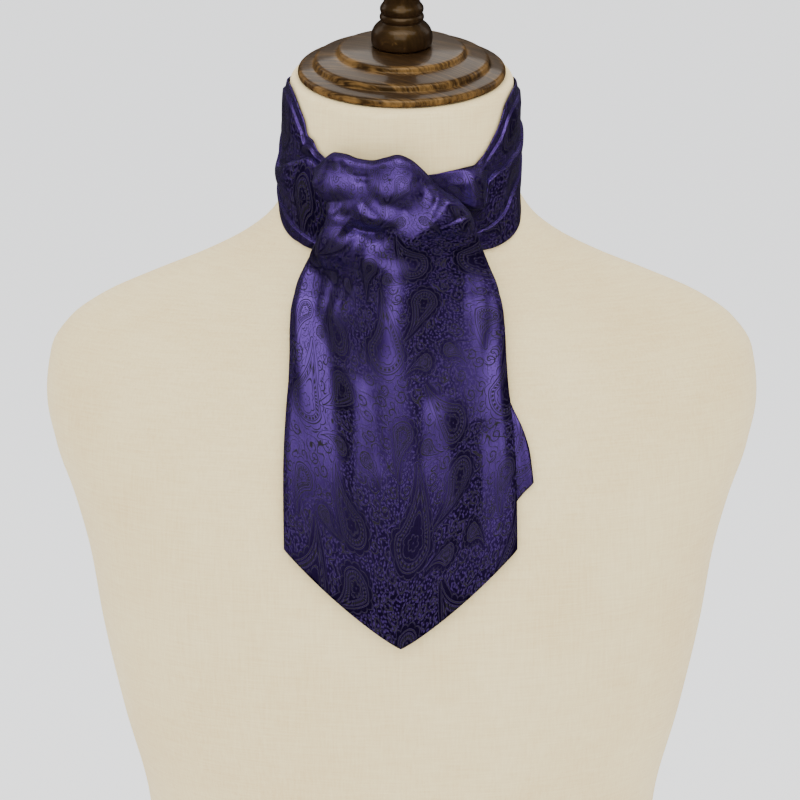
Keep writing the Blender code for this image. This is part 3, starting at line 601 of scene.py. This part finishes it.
# %% Lay the pleats
def rows_down(v, starts, height):
    """Turns even rows into rows that keep to the edges of the pleats, as shares of the way down."""
    first, second, third = starts
    half_edge = PLEAT_EDGE / 2 / height
    rows = [
        0 * first,
        first - half_edge,
        first + half_edge,
        first + (second - first) * 0.34,
        first + (second - first) * 0.60,
        first + (second - first) * 0.84,
        second - half_edge,
        second + half_edge,
        second + (third - second) * 0.34,
        second + (third - second) * 0.66,
        third - half_edge,
        third + half_edge,
        (third + 1) / 2,
        0 * first + 1,
    ]
    rows = np.maximum.accumulate(np.array(rows))
    even = np.clip(v, 0, 1) * (len(rows) - 1)
    row = np.minimum(even.astype(int), len(rows) - 2)
    above = np.take_along_axis(rows, row[None], axis=0)[0]
    below = np.take_along_axis(rows, row[None] + 1, axis=0)[0]
    return above + (even - row) * (below - above)


def pleat_profile(share, starts, lap, height):
    out = np.zeros(share.shape)
    ends = [*starts[1:], np.full(share.shape, LAST_PLEAT_END)]
    for start, end, step in zip(starts, ends, (PLEAT_STEP, lap, PLEAT_STEP)):
        edge = PLEAT_EDGE / height
        rise = ease((share - start) / edge + 0.5)
        fall = 1 - ease((share - start - edge / 2) / (end - start - edge))
        out += step * rise * fall
    return out


def puff_height(turn, z, upper):
    """The puff on the wearer's left: rounded down to its crease, where it turns under."""
    across = turn * (form_radius(turn, z) + CLOTH_OFF)
    crease = NECK_TOP + column(PUFF, "across", "crease", across)
    out = column(PUFF, "across", "out", across) * (across > PUFF["across"][0])
    share = np.clip((z - crease) / np.maximum(upper - crease, 1), 0, 1)
    under = ease(1 + (z - crease) / PUFF_UNDERSIDE)
    return out * np.sqrt(np.clip(1 - share**2, 0, 1)) * under


def wrap_place(sides, with_puff, creases):
    def place(u, v):
        first, last = sides["turn"][0], sides["turn"][-1]
        turn = first + u * (last - first)
        upper = NECK_TOP + column(sides, "turn", "upper", turn)
        lower = NECK_TOP + column(sides, "turn", "lower", turn)
        starts = [column(sides, "turn", name, turn) for name in ("first", "second", "third")]
        down = rows_down(v, starts, upper - lower)
        z = upper + down * (lower - upper)
        angle = np.radians(turn)
        lap, billow = (column(sides, "turn", name, turn) for name in ("lap", "billow"))
        stand_off = WRAP_GAP + pleat_profile(down, starts, lap, upper - lower)
        stand_off = stand_off + billow * np.sin(math.pi * down) ** BILLOW_POWER
        if with_puff:
            calm = ease((turn - PLEATS_FROM) / PLEATS_OVER)
            stand_off = WRAP_GAP + (stand_off - WRAP_GAP) * calm
        inside = ease(down / HEM_FREE) * ease((1 - down) / HEM_FREE)
        inside = inside * ease(u / END_FREE) * ease((1 - u) / END_FREE)
        crease = fold_height(creases, np.radians(turn) * WRAP_MIDDLE, z - NECK_TOP)
        stand_off = stand_off + crease * inside
        radius = off_form(angle, z, np.maximum(stand_off, LEAST_GAP))
        if with_puff:
            radius = radius + puff_height(angle, z, upper)
        return point(angle, radius, z)

    return place


# %% Drape the wrap
CLOTH = 0.9  # mm, two layers of jacquard with a thin interlining, pressed
SEAM_GAP = 0.3  # mm of air between pieces
SEAM_TURN = math.degrees(SEAM_GAP / 2 / (FORM_SECTIONS["side"][-1] + WRAP_GAP))
RIGHT_SIDE["turn"][0] += SEAM_TURN
LEFT_SIDE["turn"][-1] -= SEAM_TURN
BAND_SIDE["turn"][[0, -1]] += (SEAM_TURN, -SEAM_TURN)
RIGHT_CREASES = table(
    FOLD,
    [
        (-95, -54, -68, -58, -42, -66, 3.4, 11, 15),  # the swelling where it goes under the blade
        (-92, -14, -76, -24, -60, -40, 0.7, 3, 4),
        (-96, -34, -82, -44, -70, -60, -0.5, 3, 3),
        (-70, -16, -62, -26, -54, -40, -0.5, 2, 3),
        (-104, -26, -92, -32, -80, -42, 0.4, 2, 2),
    ],
)
LEFT_CREASES = table(
    FOLD,
    [
        (92, -12, 78, -22, 62, -40, 0.7, 3, 3),
        (88, -28, 74, -42, 60, -58, -0.5, 3, 3),
        (70, -44, 56, -64, 40, -78, 0.8, 4, 4),
        (84, -44, 72, -58, 56, -76, -0.6, 3, 4),
        (40, -48, 33, -52, 26, -50, 0.5, 2, 3),
    ],
)
BAND_CREASES = table(
    FOLD,
    [
        (128, -10, 150, -12, 168, -9, 0.3, 2, 2),
        (176, -26, 200, -30, 222, -28, 0.3, 2, 3),
        (236, -14, 252, -18, 268, -16, -0.3, 2, 2),
        (140, -36, 160, -40, 186, -38, -0.3, 2, 2),
    ],
)
fan_rows = 13 * ROWS_PER_STEP
# The cloth's size in the pattern is in metres: its length as worn, and its height with the laps.
right_place = wrap_place(RIGHT_SIDE, False, RIGHT_CREASES)
fan_right = drape("draped_fan_right", 150, fan_rows, right_place, (0.12, 0.09))
left_place = wrap_place(LEFT_SIDE, True, LEFT_CREASES)
fan_left = drape("draped_fan_left", 220, 2 * fan_rows, left_place, (0.13, 0.09))
band_place = wrap_place(BAND_SIDE, False, BAND_CREASES)
pleated_band = drape("pleated_band", 240, fan_rows, band_place, (0.17, 0.09))
for skin in (fan_right, fan_left, pleated_band):
    thicken(skin, CLOTH)

# %% [markdown]
# ## The front blade
#
# The blade comes up behind, folds over at the throat, puffs out and falls on the chest. Its section
# along the cloth is a half round fold, then a smooth fall whose distance from the form is tabled.
# On it lie ridges and hollows, each listed one by one: the light catches the ridges and leaves the
# hollows almost black, and that is what shows the drape.

# %% The blade's tables
BLADE_TIP = -297.0  # mm, the lowest point of the front blade
POINT_RISE = 54.0  # mm, the height of the pointed end of a blade
POINT_CURVE = 1.15  # just over 1 rounds the tip of a blade a little
LEG_BEHIND = 12.0  # mm that the blade runs down again behind the top fold
LEG_SHARE = 0.07  # share of the blade's rows that lie on that part
ROLL_SHARE = 0.16  # share of them that go round the top fold
EVEN_ROWS = 0.55  # how much of the rest is spaced evenly, where the others widen downwards
ROLL_TO_BODY = 12.0  # mm below the roll over which the cloth takes the blade's full shape
FLARE_FROM = -190.0  # from this height up only the blade's edges flare out,
FLARE_OVER = 110.0  # fully so this much higher,
FLARE_POWER = 4.0  # and the more the closer they are to the edge
FOLD_FREE = 0.06  # share of the blade's width at each edge over which its folds fade
BODY_LEAST = 0.2  # a trough goes at most this far below the height of the sides
EDGE_CURVE = 4.5  # mm, over which the blade's edges come down on what lies under them
TOP_FOLD = table(
    "across height roll behind",
    [
        (-56.0, -45.0, 1.4, 6.6),
        (-50.0, -41.2, 2.2, 6.4),
        (-45.0, -37.4, 3.2, 6.1),
        (-40.0, -34.9, 4.0, 5.8),
        (-33.5, -35.3, 4.4, 5.6),
        (-26.0, -37.3, 4.4, 5.6),
        (-17.0, -38.1, 4.4, 5.6),
        (-9.0, -36.3, 4.6, 5.6),
        (-2.4, -34.8, 4.8, 5.6),
        (4.0, -36.9, 4.6, 5.6),
        (9.5, -41.0, 4.2, 5.4),
        (15.0, -46.5, 3.4, 5.0),
        (19.0, -52.0, 2.6, 4.6),
    ],
)
BLADE_SIDES = table(
    "height left right",
    [
        (-330.0, -71.0, 70.0), (-250.0, -71.5, 70.0), (-200.0, -72.0, 69.0), (-165.0, -70.5, 66.0),
        (-135.0, -66.5, 61.5), (-110.0, -60.5, 55.5), (-95.0, -55.5, 50.5), (-88.0, -51.5, 48.4),
        (-82.0, -47.0, 46.5), (-75.0, -41.5, 43.5), (-67.0, -40.0, 39.5), (-60.0, -42.0, 33.0),
        (-55.0, -47.0, 24.5), (-50.0, -55.0, 19.5), (-30.0, -56.0, 19.0),
    ],
)
BLADE_BODY = table(
    "height middle centre round reach sides",
    [
        (-330.0, 3.6, 0.0, 30.0, 40.0, 3.6),
        (-250.0, 6.0, -2.0, 26.0, 34.0, 3.6),
        (-200.0, 10.0, -3.0, 18.0, 26.0, 3.8),
        (-165.0, 15.0, -3.5, 16.0, 23.0, 4.4),
        (-140.0, 19.5, -4.5, 13.0, 21.0, 5.2),
        (-122.0, 23.0, -4.5, 12.0, 20.0, 6.2),
        (-107.0, 25.2, -3.0, 11.0, 20.0, 7.0),
        (-97.0, 25.6, -5.0, 14.0, 21.0, 7.6),
        (-88.0, 25.2, -15.0, 34.0, 23.0, 8.0),
        (-80.0, 24.0, -17.0, 56.0, 24.0, 8.0),
        (-72.0, 22.8, -9.0, 66.0, 24.0, 8.0),
        (-64.0, 21.6, -5.0, 80.0, 24.0, 8.0),
        (-54.0, 20.0, -5.0, 80.0, 24.0, 7.8),
        (-44.0, 17.0, -8.0, 80.0, 24.0, 7.4),
        (-30.0, 14.5, -10.0, 80.0, 24.0, 7.0),
    ],
)
BLADE_FOLDS = table(
    FOLD,
    [
        (-53, -41, -46, -52, -38, -66, 5.2, 4, 14),  # rim of the puff at the wearer's right
        (-19, -40, -18, -48, -15, -56, -1.0, 7, 7),  # dip between the humps
        (-2, -36, 1, -47, 8, -58, 1.0, 10, 10),  # second hump
        (5, -46, 11, -53, 8, -61, -1.6, 4, 3),  # bowl beside it
        (-9, -57, -2, -62, 6, -62, -1.2, 4, 4),  # dent under the bowl
        (-28, -72, -18, -75, -4, -75, -6.5, 5, 4),  # hollow under the puff
        (-24, -61, -12, -67, 4, -67, 1.8, 7, 5),  # the puff's full lower edge
        (-33, -64, -27, -66, -20, -64, -1.6, 3, 3),  # short crease above the lobe
        (-39, -60, -39, -79, -44, -104, 6.0, 3, 14),  # lobe left of the hollow
        (-20, -78, -25, -88, -32, -102, -2.0, 4, 4),  # trough beside the lobe
        (-13, -86, -24, -101, -36, -124, 1.2, 4, 5),  # soft folds that fan out under it
        (-27, -98, -35, -114, -45, -136, 1.2, 4, 5),
        (20, -50, 33, -62, 36, -84, 7.0, 15, 4),  # full shoulder at the wearer's left
        (26, -68, 27, -73, 26, -80, 2.4, 9, 8),  # its full lower end
        (26, -68, 9, -75, -1, -88, 4.2, 8, 6),  # ridge from that shoulder to the middle
        (62, -96, 61, -130, 57, -190, 2.4, 7, 6),  # outer ridge on the wearer's left
        (-56, -96, -60, -124, -56, -184, 2.4, 6, 8),  # outer ridge on the wearer's right
        (-46, -116, -42, -152, -38, -206, -1.6, 7, 8),  # trough inside it
        (-26, -150, -25, -184, -24, -242, 1.8, 7, 8),
        (22, -160, 27, -200, 29, -252, 2.0, 9, 8),
        (44, -174, 50, -206, 50, -250, -1.8, 8, 8),
    ],
)
FINE_FOLDS = table(
    FOLD,
    [
        (-35, -33, -34, -38, -32, -44, -1.6, 2.0, 2.2),  # short crease at the top of the first hump
        (-27, -45, -22, -46, -15, -45, -1.0, 1.3, 1.3),  # two short creases in the dip
        (-26, -48, -21, -49, -16, -48, -0.8, 1.2, 1.2),
        (-20, -46, -8, -56, 0, -66, 0.6, 3.0, 4.0),  # soft diagonal across the puff
        (14, -50, 18, -56, 16, -64, -1.2, 2.0, 2.0),  # creases in the bowl
        (-20, -58, -15, -64, -8, -66, -0.7, 1.8, 2.0),
        (-2, -70, -6, -76, -4, -82, -0.8, 1.8, 2.0),  # short folds that run into the hollow
        (12, -70, 8, -76, 2, -80, 0.8, 2.0, 2.0),
        (-20, -86, -28, -104, -38, -126, -0.8, 2.0, 2.5),
        (-36, -92, -42, -108, -48, -130, 0.8, 2.5, 3.0),
        (-60, -98, -64, -120, -62, -150, -0.7, 3.0, 3.0),
        (34, -84, 34, -104, 36, -134, -0.7, 3.0, 4.0),
        (46, -92, 46, -116, 46, -150, 0.7, 4.0, 4.0),
        (-14, -156, -15, -180, -12, -206, -0.6, 4.0, 4.0),
        (10, -158, 12, -180, 12, -206, -0.5, 4.0, 4.0),
        (60, -140, 62, -174, 60, -214, 0.6, 4.0, 4.0),
    ],
)


# %% Drape the blade
def blade_place(u, v):
    """The middle of the blade's wall. v is 0 at its end behind the top fold, and 1 at the tip."""
    top_across = TOP_FOLD["across"][0] + u * (TOP_FOLD["across"][-1] - TOP_FOLD["across"][0])
    top, roll, behind = (
        column(TOP_FOLD, "across", name, top_across) for name in ("height", "roll", "behind")
    )
    quarter = math.pi / 2 * roll
    hem = BLADE_TIP + POINT_RISE * np.abs(2 * u - 1) ** POINT_CURVE
    down_leg = (v / LEG_SHARE - 1) * (LEG_BEHIND * roll / TOP_FOLD["roll"].max()) - quarter
    round_fold = ((v - LEG_SHARE) / ROLL_SHARE * 2 - 1) * quarter
    fall = np.clip((v - LEG_SHARE - ROLL_SHARE) / (1 - LEG_SHARE - ROLL_SHARE), 0, 1)
    spaced = EVEN_ROWS * fall + (1 - EVEN_ROWS) * fall**2
    down_front = quarter + (top - roll - hem) * spaced
    on_leg, on_roll = v < LEG_SHARE, v <= LEG_SHARE + ROLL_SHARE
    run = np.where(on_leg, down_leg, np.where(on_roll, round_fold, down_front))
    angle = np.clip(run / roll, -math.pi / 2, math.pi / 2)
    height = top - roll * (1 - np.cos(angle)) - np.maximum(np.abs(run) - quarter, 0)

    spread = 1 + FLARE_POWER * ease((height - FLARE_FROM) / FLARE_OVER)
    level = np.where(run < 0, top, height)  # behind the fold the cloth doesn't flare
    left, right = (column(BLADE_SIDES, "height", name, level) for name in ("left", "right"))
    start, end = TOP_FOLD["across"][0], TOP_FOLD["across"][-1]
    flare = (right - end) * u**spread + (left - start) * (1 - u) ** spread
    across = start + (end - start) * u + flare

    middle, centre, rounded, reach, sides = (
        column(BLADE_BODY, "height", name, height)
        for name in ("middle", "centre", "round", "reach", "sides")
    )
    fall_off = (np.hypot(across - centre, rounded) - rounded) / reach
    from_edge = np.minimum(across - left, right - across)
    edges = np.sin(math.pi / 2 * np.clip(from_edge / EDGE_CURVE, 0, 1))
    body = sides + (middle - sides) * np.exp(-fall_off) * edges
    folds = fold_height(BLADE_FOLDS, across, height) + fold_height(FINE_FOLDS, across, height)
    body = body + folds * ease(u / FOLD_FREE) * ease((1 - u) / FOLD_FREE)
    body = np.maximum(body, sides - BODY_LEAST)
    folded = behind + roll + roll * np.sin(angle)
    to_body = ease(np.maximum(run, 0) / (quarter + ROLL_TO_BODY))
    stand_off = folded + (body - folded) * to_body

    z = NECK_TOP + height
    turn = turn_of(across, z)
    thin = np.minimum(stand_off, sides)
    radius = off_form(turn, z, thin) + (stand_off - thin)
    return point(turn, radius, z)


BLADE_CUT = (0.145, 0.31)  # metres across and along
front_blade = thicken(drape("draped_front_blade", 190, 230, blade_place, BLADE_CUT), CLOTH)

# %% [markdown]
# ## The under blade
#
# The other blade is cut the same and hangs a little shorter, so only its edge shows beside the
# front one.

# %% Drape the under blade
UNDER_TOP = -91.5  # mm, where it comes out from under the crossing
UNDER_TIP = -262.0  # mm, its lowest point
UNDER_GAP = 1.3  # mm, the middle of its cloth off the form
UNDER_CUT = (0.145, 0.17)  # metres across and along
UNDER_SIDES = table(
    "height left right",
    [(-300.0, -55.0, 83.0), (-230.0, -55.0, 83.0), (-195.0, -52.0, 80.0)]
    + [(-165.0, -44.0, 68.0), (-140.0, -36.0, 52.0), (-115.0, -28.0, 38.0), (-92.0, -24.0, 30.0)],
)
UNDER_FOLDS = table(
    FOLD,
    [(72, -170, 80, -200, 82, -236, 1.6, 4, 8), (6, -100, 8, -125, 10, -150, 1.6, 8, 8)],
)


def under_place(u, v):
    hem = UNDER_TIP + POINT_RISE * np.abs(2 * u - 1) ** POINT_CURVE
    height = UNDER_TOP + v * (hem - UNDER_TOP)
    left, right = (column(UNDER_SIDES, "height", name, height) for name in ("left", "right"))
    across = left + u * (right - left)
    out = fold_height(UNDER_FOLDS, across, height)
    z = NECK_TOP + height
    turn = turn_of(across, z)
    return point(turn, off_form(turn, z, UNDER_GAP + out), z)


under_blade = thicken(drape("draped_under_blade", 90, 110, under_place, UNDER_CUT), CLOTH)

# %% [markdown]
# ## Paisley jacquard
#
# In a jacquard one set of yarns makes a satin ground, glossy and purple, and the other a matte
# figure, dark and greyish. Facing the light the ground shines, so the figure reads dark; turned
# away the ground goes black and the figure stays a dim grey. The figure is a general paisley, laid
# out here afresh: bent drops with rows of outlines, small drops, rosettes and scrolling vines.

# %% One paisley drop
MOTIF_LINE = 0.32  # mm, the half width of a woven line, drawn wide enough to show
DROP_TIP = 2.6  # how far up a drop's tip is, in radii of its body


def thread(tree, value, low, high):
    """1 where a value is below low, and 0 above high."""
    limits = {"From_Min": low, "From_Max": high, "To_Min": 1.0, "To_Max": 0.0}
    return add(tree, "MapRange", interpolation_type="SMOOTHSTEP", Value=value, **limits)


def paisley_group():
    """A bent drop at a centre, turned and sized: its lines, and what lies inside it."""
    group = bpy.data.node_groups.new("paisley_drop", "ShaderNodeTree")
    for name, kind in (
        ("Point", "NodeSocketVector"),
        ("Centre", "NodeSocketVector"),
        ("Turn", "NodeSocketFloat"),
        ("Radius", "NodeSocketFloat"),
        ("Curl", "NodeSocketFloat"),
    ):
        group.interface.new_socket(name, in_out="INPUT", socket_type=kind)
    for name in ("Lines", "Inside"):
        group.interface.new_socket(name, in_out="OUTPUT", socket_type="NodeSocketFloat")
    source = group.nodes.new("NodeGroupInput").outputs
    moved = add(group, "VectorMath SUBTRACT", source["Point"], source["Centre"])
    turned = add(group, "VectorRotate", rotation_type="Z_AXIS", Vector=moved, Angle=source["Turn"])
    axes = add(group, "SeparateXYZ", Vector=turned)
    x = add(group, "Math DIVIDE", axes.outputs["X"], source["Radius"])
    y = add(group, "Math DIVIDE", axes.outputs["Y"], source["Radius"])
    up = add(group, "Math MAXIMUM", y, 0.0)
    up_squared = add(group, "Math MULTIPLY", up, up)
    bent = add(group, "Math MULTIPLY_ADD", up_squared, source["Curl"], x)
    # The half width of the drop is 1 at the body, and nothing at the tip.
    to_tip = add(group, "Math SUBTRACT", 1.0, add(group, "Math DIVIDE", up, DROP_TIP))
    width = add(group, "Math POWER", add(group, "Math MAXIMUM", to_tip, 0.0), 1.25)
    beside = add(group, "Math SUBTRACT", add(group, "Math ABSOLUTE", bent), width)
    past_tip = add(group, "Math MAXIMUM", add(group, "Math SUBTRACT", up, DROP_TIP), 0.0)
    beside = add(group, "Math ADD", beside, past_tip)
    low = add(group, "Math MINIMUM", y, 0.0)
    low_squared = add(group, "Math MULTIPLY", low, low)
    round_foot = add(group, "Math ADD", add(group, "Math MULTIPLY", bent, bent), low_squared)
    round_foot = add(group, "Math SUBTRACT", add(group, "Math SQRT", round_foot), 1.0)
    above = add(group, "Math GREATER_THAN", y, 0.0)
    edge = add(group, "Mix", Factor=above, A=round_foot, B=beside)
    edge = add(group, "Math MULTIPLY", edge, source["Radius"])
    around = add(group, "Math ARCTAN2", bent, add(group, "Math SUBTRACT", y, 0.3))

    def line(distance, at, half_width):
        """1 where a distance is within half a width of a place, and 0 past it."""
        apart = add(group, "Math ABSOLUTE", add(group, "Math SUBTRACT", distance, at))
        return thread(group, apart, half_width * 0.55, half_width * 1.25)

    def ripple(turn, count):
        """Rises from 0 to 1 and falls again, so many times in half a turn."""
        wave = add(group, "Math SINE", add(group, "Math MULTIPLY", turn, count))
        return add(group, "Math ABSOLUTE", wave)

    def scallops(count, depth):
        """The distance from the edge, pushed out in a row of round petals."""
        petals = add(group, "Math SQRT", ripple(around, count))
        return add(group, "Math MULTIPLY_ADD", petals, -depth, edge)

    lines = line(edge, 0.0, MOTIF_LINE)
    for distance, at, half_width in (
        (scallops(6.0, 1.7), 0.9, MOTIF_LINE * 0.8),
        (edge, -1.2, MOTIF_LINE * 0.6),
        (edge, -3.4, MOTIF_LINE * 0.6),
        (scallops(4.0, 1.4), -6.0, MOTIF_LINE * 0.8),
    ):
        lines = add(group, "Math MAXIMUM", lines, line(distance, at, half_width))
    # A band of short bars runs round between the two inner outlines.
    bars = add(group, "Math GREATER_THAN", ripple(around, 15.0), 0.6)
    bars = add(group, "Math MULTIPLY", bars, line(edge, -2.3, 0.75))
    lines = add(group, "Math MAXIMUM", lines, bars)
    # A rosette of six petals fills the body.
    y_squared = add(group, "Math MULTIPLY", y, y)
    from_heart = add(group, "Math ADD", add(group, "Math MULTIPLY", x, x), y_squared)
    from_heart = add(group, "Math SQRT", from_heart)
    from_heart = add(group, "Math MULTIPLY", from_heart, source["Radius"])
    petals = ripple(add(group, "Math ARCTAN2", x, y), 3.0)
    petals = add(group, "Math MULTIPLY_ADD", petals, -1.1, from_heart)
    lines = add(group, "Math MAXIMUM", lines, line(petals, 2.2, MOTIF_LINE * 0.8))
    lines = add(group, "Math MAXIMUM", lines, line(from_heart, 0.0, MOTIF_LINE * 1.2))
    inside = add(group, "MapRange", Value=edge, From_Min=3.4, From_Max=2.8)
    result = group.nodes.new("NodeGroupOutput")
    group.links.new(lines.outputs[0], result.inputs["Lines"])
    group.links.new(inside.outputs[0], result.inputs["Inside"])
    return group


paisley_drop = paisley_group()

# %% Weave the jacquard
REPEAT = (62.0, 84.0)  # mm across and along the cloth
DROPS = table(
    "x y turn radius curl",
    [
        (18.0, 22.0, 0.5, 11.0, 0.16),
        (46.0, 38.0, 3.5, 7.5, -0.20),
        (44.0, 62.0, -0.8, 8.5, -0.16),
        (14.0, 68.0, 3.9, 6.0, 0.22),
        (38.0, 9.0, 5.2, 4.0, 0.24),
        (54.0, 10.0, 1.9, 3.6, -0.24),
        (27.0, 58.0, 2.6, 3.6, 0.22),
    ],
)
jacquard, tree, shader = material("paisley_jacquard")
cloth = add(tree, "UVMap").outputs[0]
in_mm = add(tree, "VectorMath SCALE", cloth, Scale=1000.0)
# Each second column of the repeat sits half a repeat lower, as in real cloth.
flat_axes = add(tree, "SeparateXYZ", Vector=in_mm)
across_count = add(tree, "Math FLOOR", add(tree, "Math DIVIDE", flat_axes.outputs["X"], REPEAT[0]))
dropped = add(tree, "Math MULTIPLY_ADD", across_count, REPEAT[1] / 2, flat_axes.outputs["Y"])
tile_x = add(tree, "Math FLOORED_MODULO", flat_axes.outputs["X"], REPEAT[0])
tile_y = add(tree, "Math FLOORED_MODULO", dropped, REPEAT[1])
tile = add(tree, "CombineXYZ", X=tile_x, Y=tile_y)
figure, inside = 0.0, 0.0
for drop in DROPS:
    motif = tree.nodes.new("ShaderNodeGroup")
    motif.node_tree = paisley_drop
    tree.links.new(tile.outputs[0], motif.inputs["Point"])
    motif.inputs["Centre"].default_value = (drop["x"], drop["y"], 0)
    motif.inputs["Turn"].default_value = drop["turn"]
    motif.inputs["Radius"].default_value = drop["radius"]
    motif.inputs["Curl"].default_value = drop["curl"]
    figure = add(tree, "Math MAXIMUM", figure, motif.outputs["Lines"])
    inside = add(tree, "Math MAXIMUM", inside, motif.outputs["Inside"])

# %% Scrolls, vines and dots
SCROLL_MM = 9.0  # one curled tendril to a cell
SCROLL_PITCH = 2.3  # mm between the turns of a tendril
cells = add(tree, "TexVoronoi", voronoi_dimensions="2D", Vector=in_mm, Scale=1 / SCROLL_MM)
cells.inputs["Randomness"].default_value = 0.75
from_curl = add(tree, "VectorMath SUBTRACT", in_mm, cells.outputs["Position"])
curl_axes = add(tree, "SeparateXYZ", Vector=from_curl)
curl_radius = add(tree, "VectorMath LENGTH", from_curl).outputs["Value"]
curl_turn = add(tree, "Math ARCTAN2", curl_axes.outputs["Y"], curl_axes.outputs["X"])
turns_out = add(tree, "Math DIVIDE", curl_radius, SCROLL_PITCH)
spiral = add(tree, "Math MULTIPLY_ADD", curl_turn, 1 / (2 * math.pi), turns_out)
spiral = thread(tree, add(tree, "Math PINGPONG", spiral, 0.5), 0.09, 0.17)
scrolls = add(tree, "Math MULTIPLY", spiral, thread(tree, curl_radius, 3.4, 3.8))
# A vine follows each contour of a wide, soft noise.
hills = add(tree, "TexNoise", noise_dimensions="2D", Vector=in_mm, Scale=0.07, Detail=1)
hills.inputs["Roughness"].default_value = 0.4
contours = add(tree, "Math PINGPONG", add(tree, "Math MULTIPLY", hills, 9.0), 0.5)
vines = thread(tree, contours, 0.035, 0.085)
seeds = add(tree, "TexVoronoi", voronoi_dimensions="2D", Vector=in_mm, Scale=0.62)
dots = add(tree, "Math MULTIPLY", thread(tree, seeds.outputs["Distance"], 0.22, 0.34), 0.45)
filler = add(tree, "Math MAXIMUM", add(tree, "Math MAXIMUM", vines, scrolls), dots)
outside = add(tree, "Math SUBTRACT", 1.0, inside)
figure = add(tree, "Math MAXIMUM", figure, add(tree, "Math MULTIPLY", filler, outside))

# %% Satin and figure
# Silk yarns differ a little along the warp, which streaks the satin.
warp_place = add(tree, "Mapping", Vector=in_mm, Scale=(1.1, 0.03, 1))
streaks = add(tree, "TexNoise", noise_dimensions="2D", Vector=warp_place, Scale=1, Detail=2)
FIRST, SECOND, MIXED = 6, 7, 2  # the sockets of a Mix node that hold colours
satin = add(tree, "Mix", data_type="RGBA", Factor=streaks)
satin.inputs[FIRST].default_value = linear("#5a3c8c")
satin.inputs[SECOND].default_value = linear("#7152ad")
ground = add(tree, "Mix", data_type="RGBA", Factor=figure)
tree.links.new(satin.outputs[MIXED], ground.inputs[FIRST])
ground.inputs[SECOND].default_value = linear("#232022")
tree.links.new(ground.outputs[MIXED], shader.inputs["Base Color"])
gloss = add(tree, "MapRange", Value=figure, To_Min=1.0, To_Max=0.2)
tree.links.new(gloss.outputs[0], shader.inputs["Metallic"])
roughness = add(tree, "MapRange", Value=figure, To_Min=0.36, To_Max=0.6)
tree.links.new(roughness.outputs[0], shader.inputs["Roughness"])
SATIN_MM = 0.8  # drawn, where the real float is a third of this
slope = add(tree, "Math MULTIPLY", flat_axes.outputs["Y"], 0.6)
twill = add(tree, "Math ADD", flat_axes.outputs["X"], slope)
twill = add(tree, "Math SINE", add(tree, "Math MULTIPLY", twill, 2 * math.pi / SATIN_MM))
relief = add(tree, "Math MULTIPLY_ADD", twill, 0.12, add(tree, "Math MULTIPLY", figure, 0.6))
raised = add(tree, "Bump", Height=relief, Strength=0.22, Distance=0.2 * MM)
tree.links.new(raised.outputs["Normal"], shader.inputs["Normal"])
shader.inputs["Specular IOR Level"].default_value = 0.15
shader.inputs["Sheen Weight"].default_value = 0.02
shader.inputs["Sheen Roughness"].default_value = 0.4

dress(fan_right, "purple_jacquard", jacquard, "fan_right")
dress(fan_left, "purple_jacquard", jacquard, "fan_left")
dress(pleated_band, "purple_jacquard", jacquard, "neck_band")
dress(under_blade, "purple_jacquard", jacquard, "under_blade")
dress(front_blade, "purple_jacquard", jacquard, "front_blade")

# %% [markdown]
# ## Light and floor
#
# Satin shows its light only as a reflection, so the lamps are placed for what the folds mirror: a
# large softbox in front and a wide strip overhead. Two weak panels at the rear sides and a softbox
# behind light the other views. For glossy rays the room is almost dark, and the floor and the linen
# form are hidden, so cloth that turns away from the lamps goes dark. The floor is pale and plain.

# %% Floor
bpy.ops.object.select_all(action="DESELECT")
bpy.ops.mesh.primitive_plane_add(size=60)
floor = bpy.context.object
floor.name = "floor"
paint, tree, shader = material("pale_floor")
shader.inputs["Base Color"].default_value = linear("#dfe0e2")
shader.inputs["Roughness"].default_value = 0.9
shader.inputs["Emission Color"].default_value = linear("#f2f3f5")
shader.inputs["Emission Strength"].default_value = 0.82
floor.data.materials.append(paint)
floor.visible_glossy = False


# %% Lights
def soft_light(name, turn, lift, distance, size, radiance):
    """A soft box at a turn from the camera's side and a lift, both in degrees, round the throat. A
    box's power is its radiance times pi and its area."""
    lamp = bpy.data.objects.new(name, bpy.data.lights.new(name, "AREA"))
    bpy.context.scene.collection.objects.link(lamp)
    turn, lift = math.radians(turn), math.radians(lift)
    level = math.cos(lift)
    out = Vector((math.sin(turn) * level, -math.cos(turn) * level, math.sin(lift)))
    lamp.location = THROAT + distance * out
    lamp.rotation_euler = out.to_track_quat("Z", "Y").to_euler()
    lamp.data.shape = "RECTANGLE"
    lamp.data.size, lamp.data.size_y = size
    lamp.data.energy = radiance * math.pi * size[0] * size[1]
    return lamp


THROAT = Vector((0, -0.08, 0.62))  # metres
# The turn, the lift, the distance, the width and height in metres, and the radiance.
soft_light("main_softbox", -6, 38, 1.5, (1.2, 1.6), 1.55)
soft_light("overhead_strip", 2, 64, 1.4, (2.1, 0.6), 1.7)
soft_light("right_panel", 120, 32, 1.6, (0.6, 0.9), 0.6)
soft_light("left_panel", -120, 32, 1.6, (0.6, 0.9), 0.6)
soft_light("back_light", 180, 50, 2.0, (1.2, 1.2), 1.5)

world = bpy.data.worlds.new("studio")
bpy.context.scene.world = world
world.use_nodes = True
background = world.node_tree.nodes["Background"]
seen = add(world.node_tree, "LightPath")
tone = add(world.node_tree, "MapRange", Value=seen.outputs["Is Glossy Ray"])
tone.inputs["To Min"].default_value = 1.55  # for all that is matte
tone.inputs["To Max"].default_value = 0.025  # for what is mirrored
background.inputs["Color"].default_value = linear("#f4f4f4")
world.node_tree.links.new(tone.outputs[0], background.inputs["Strength"])
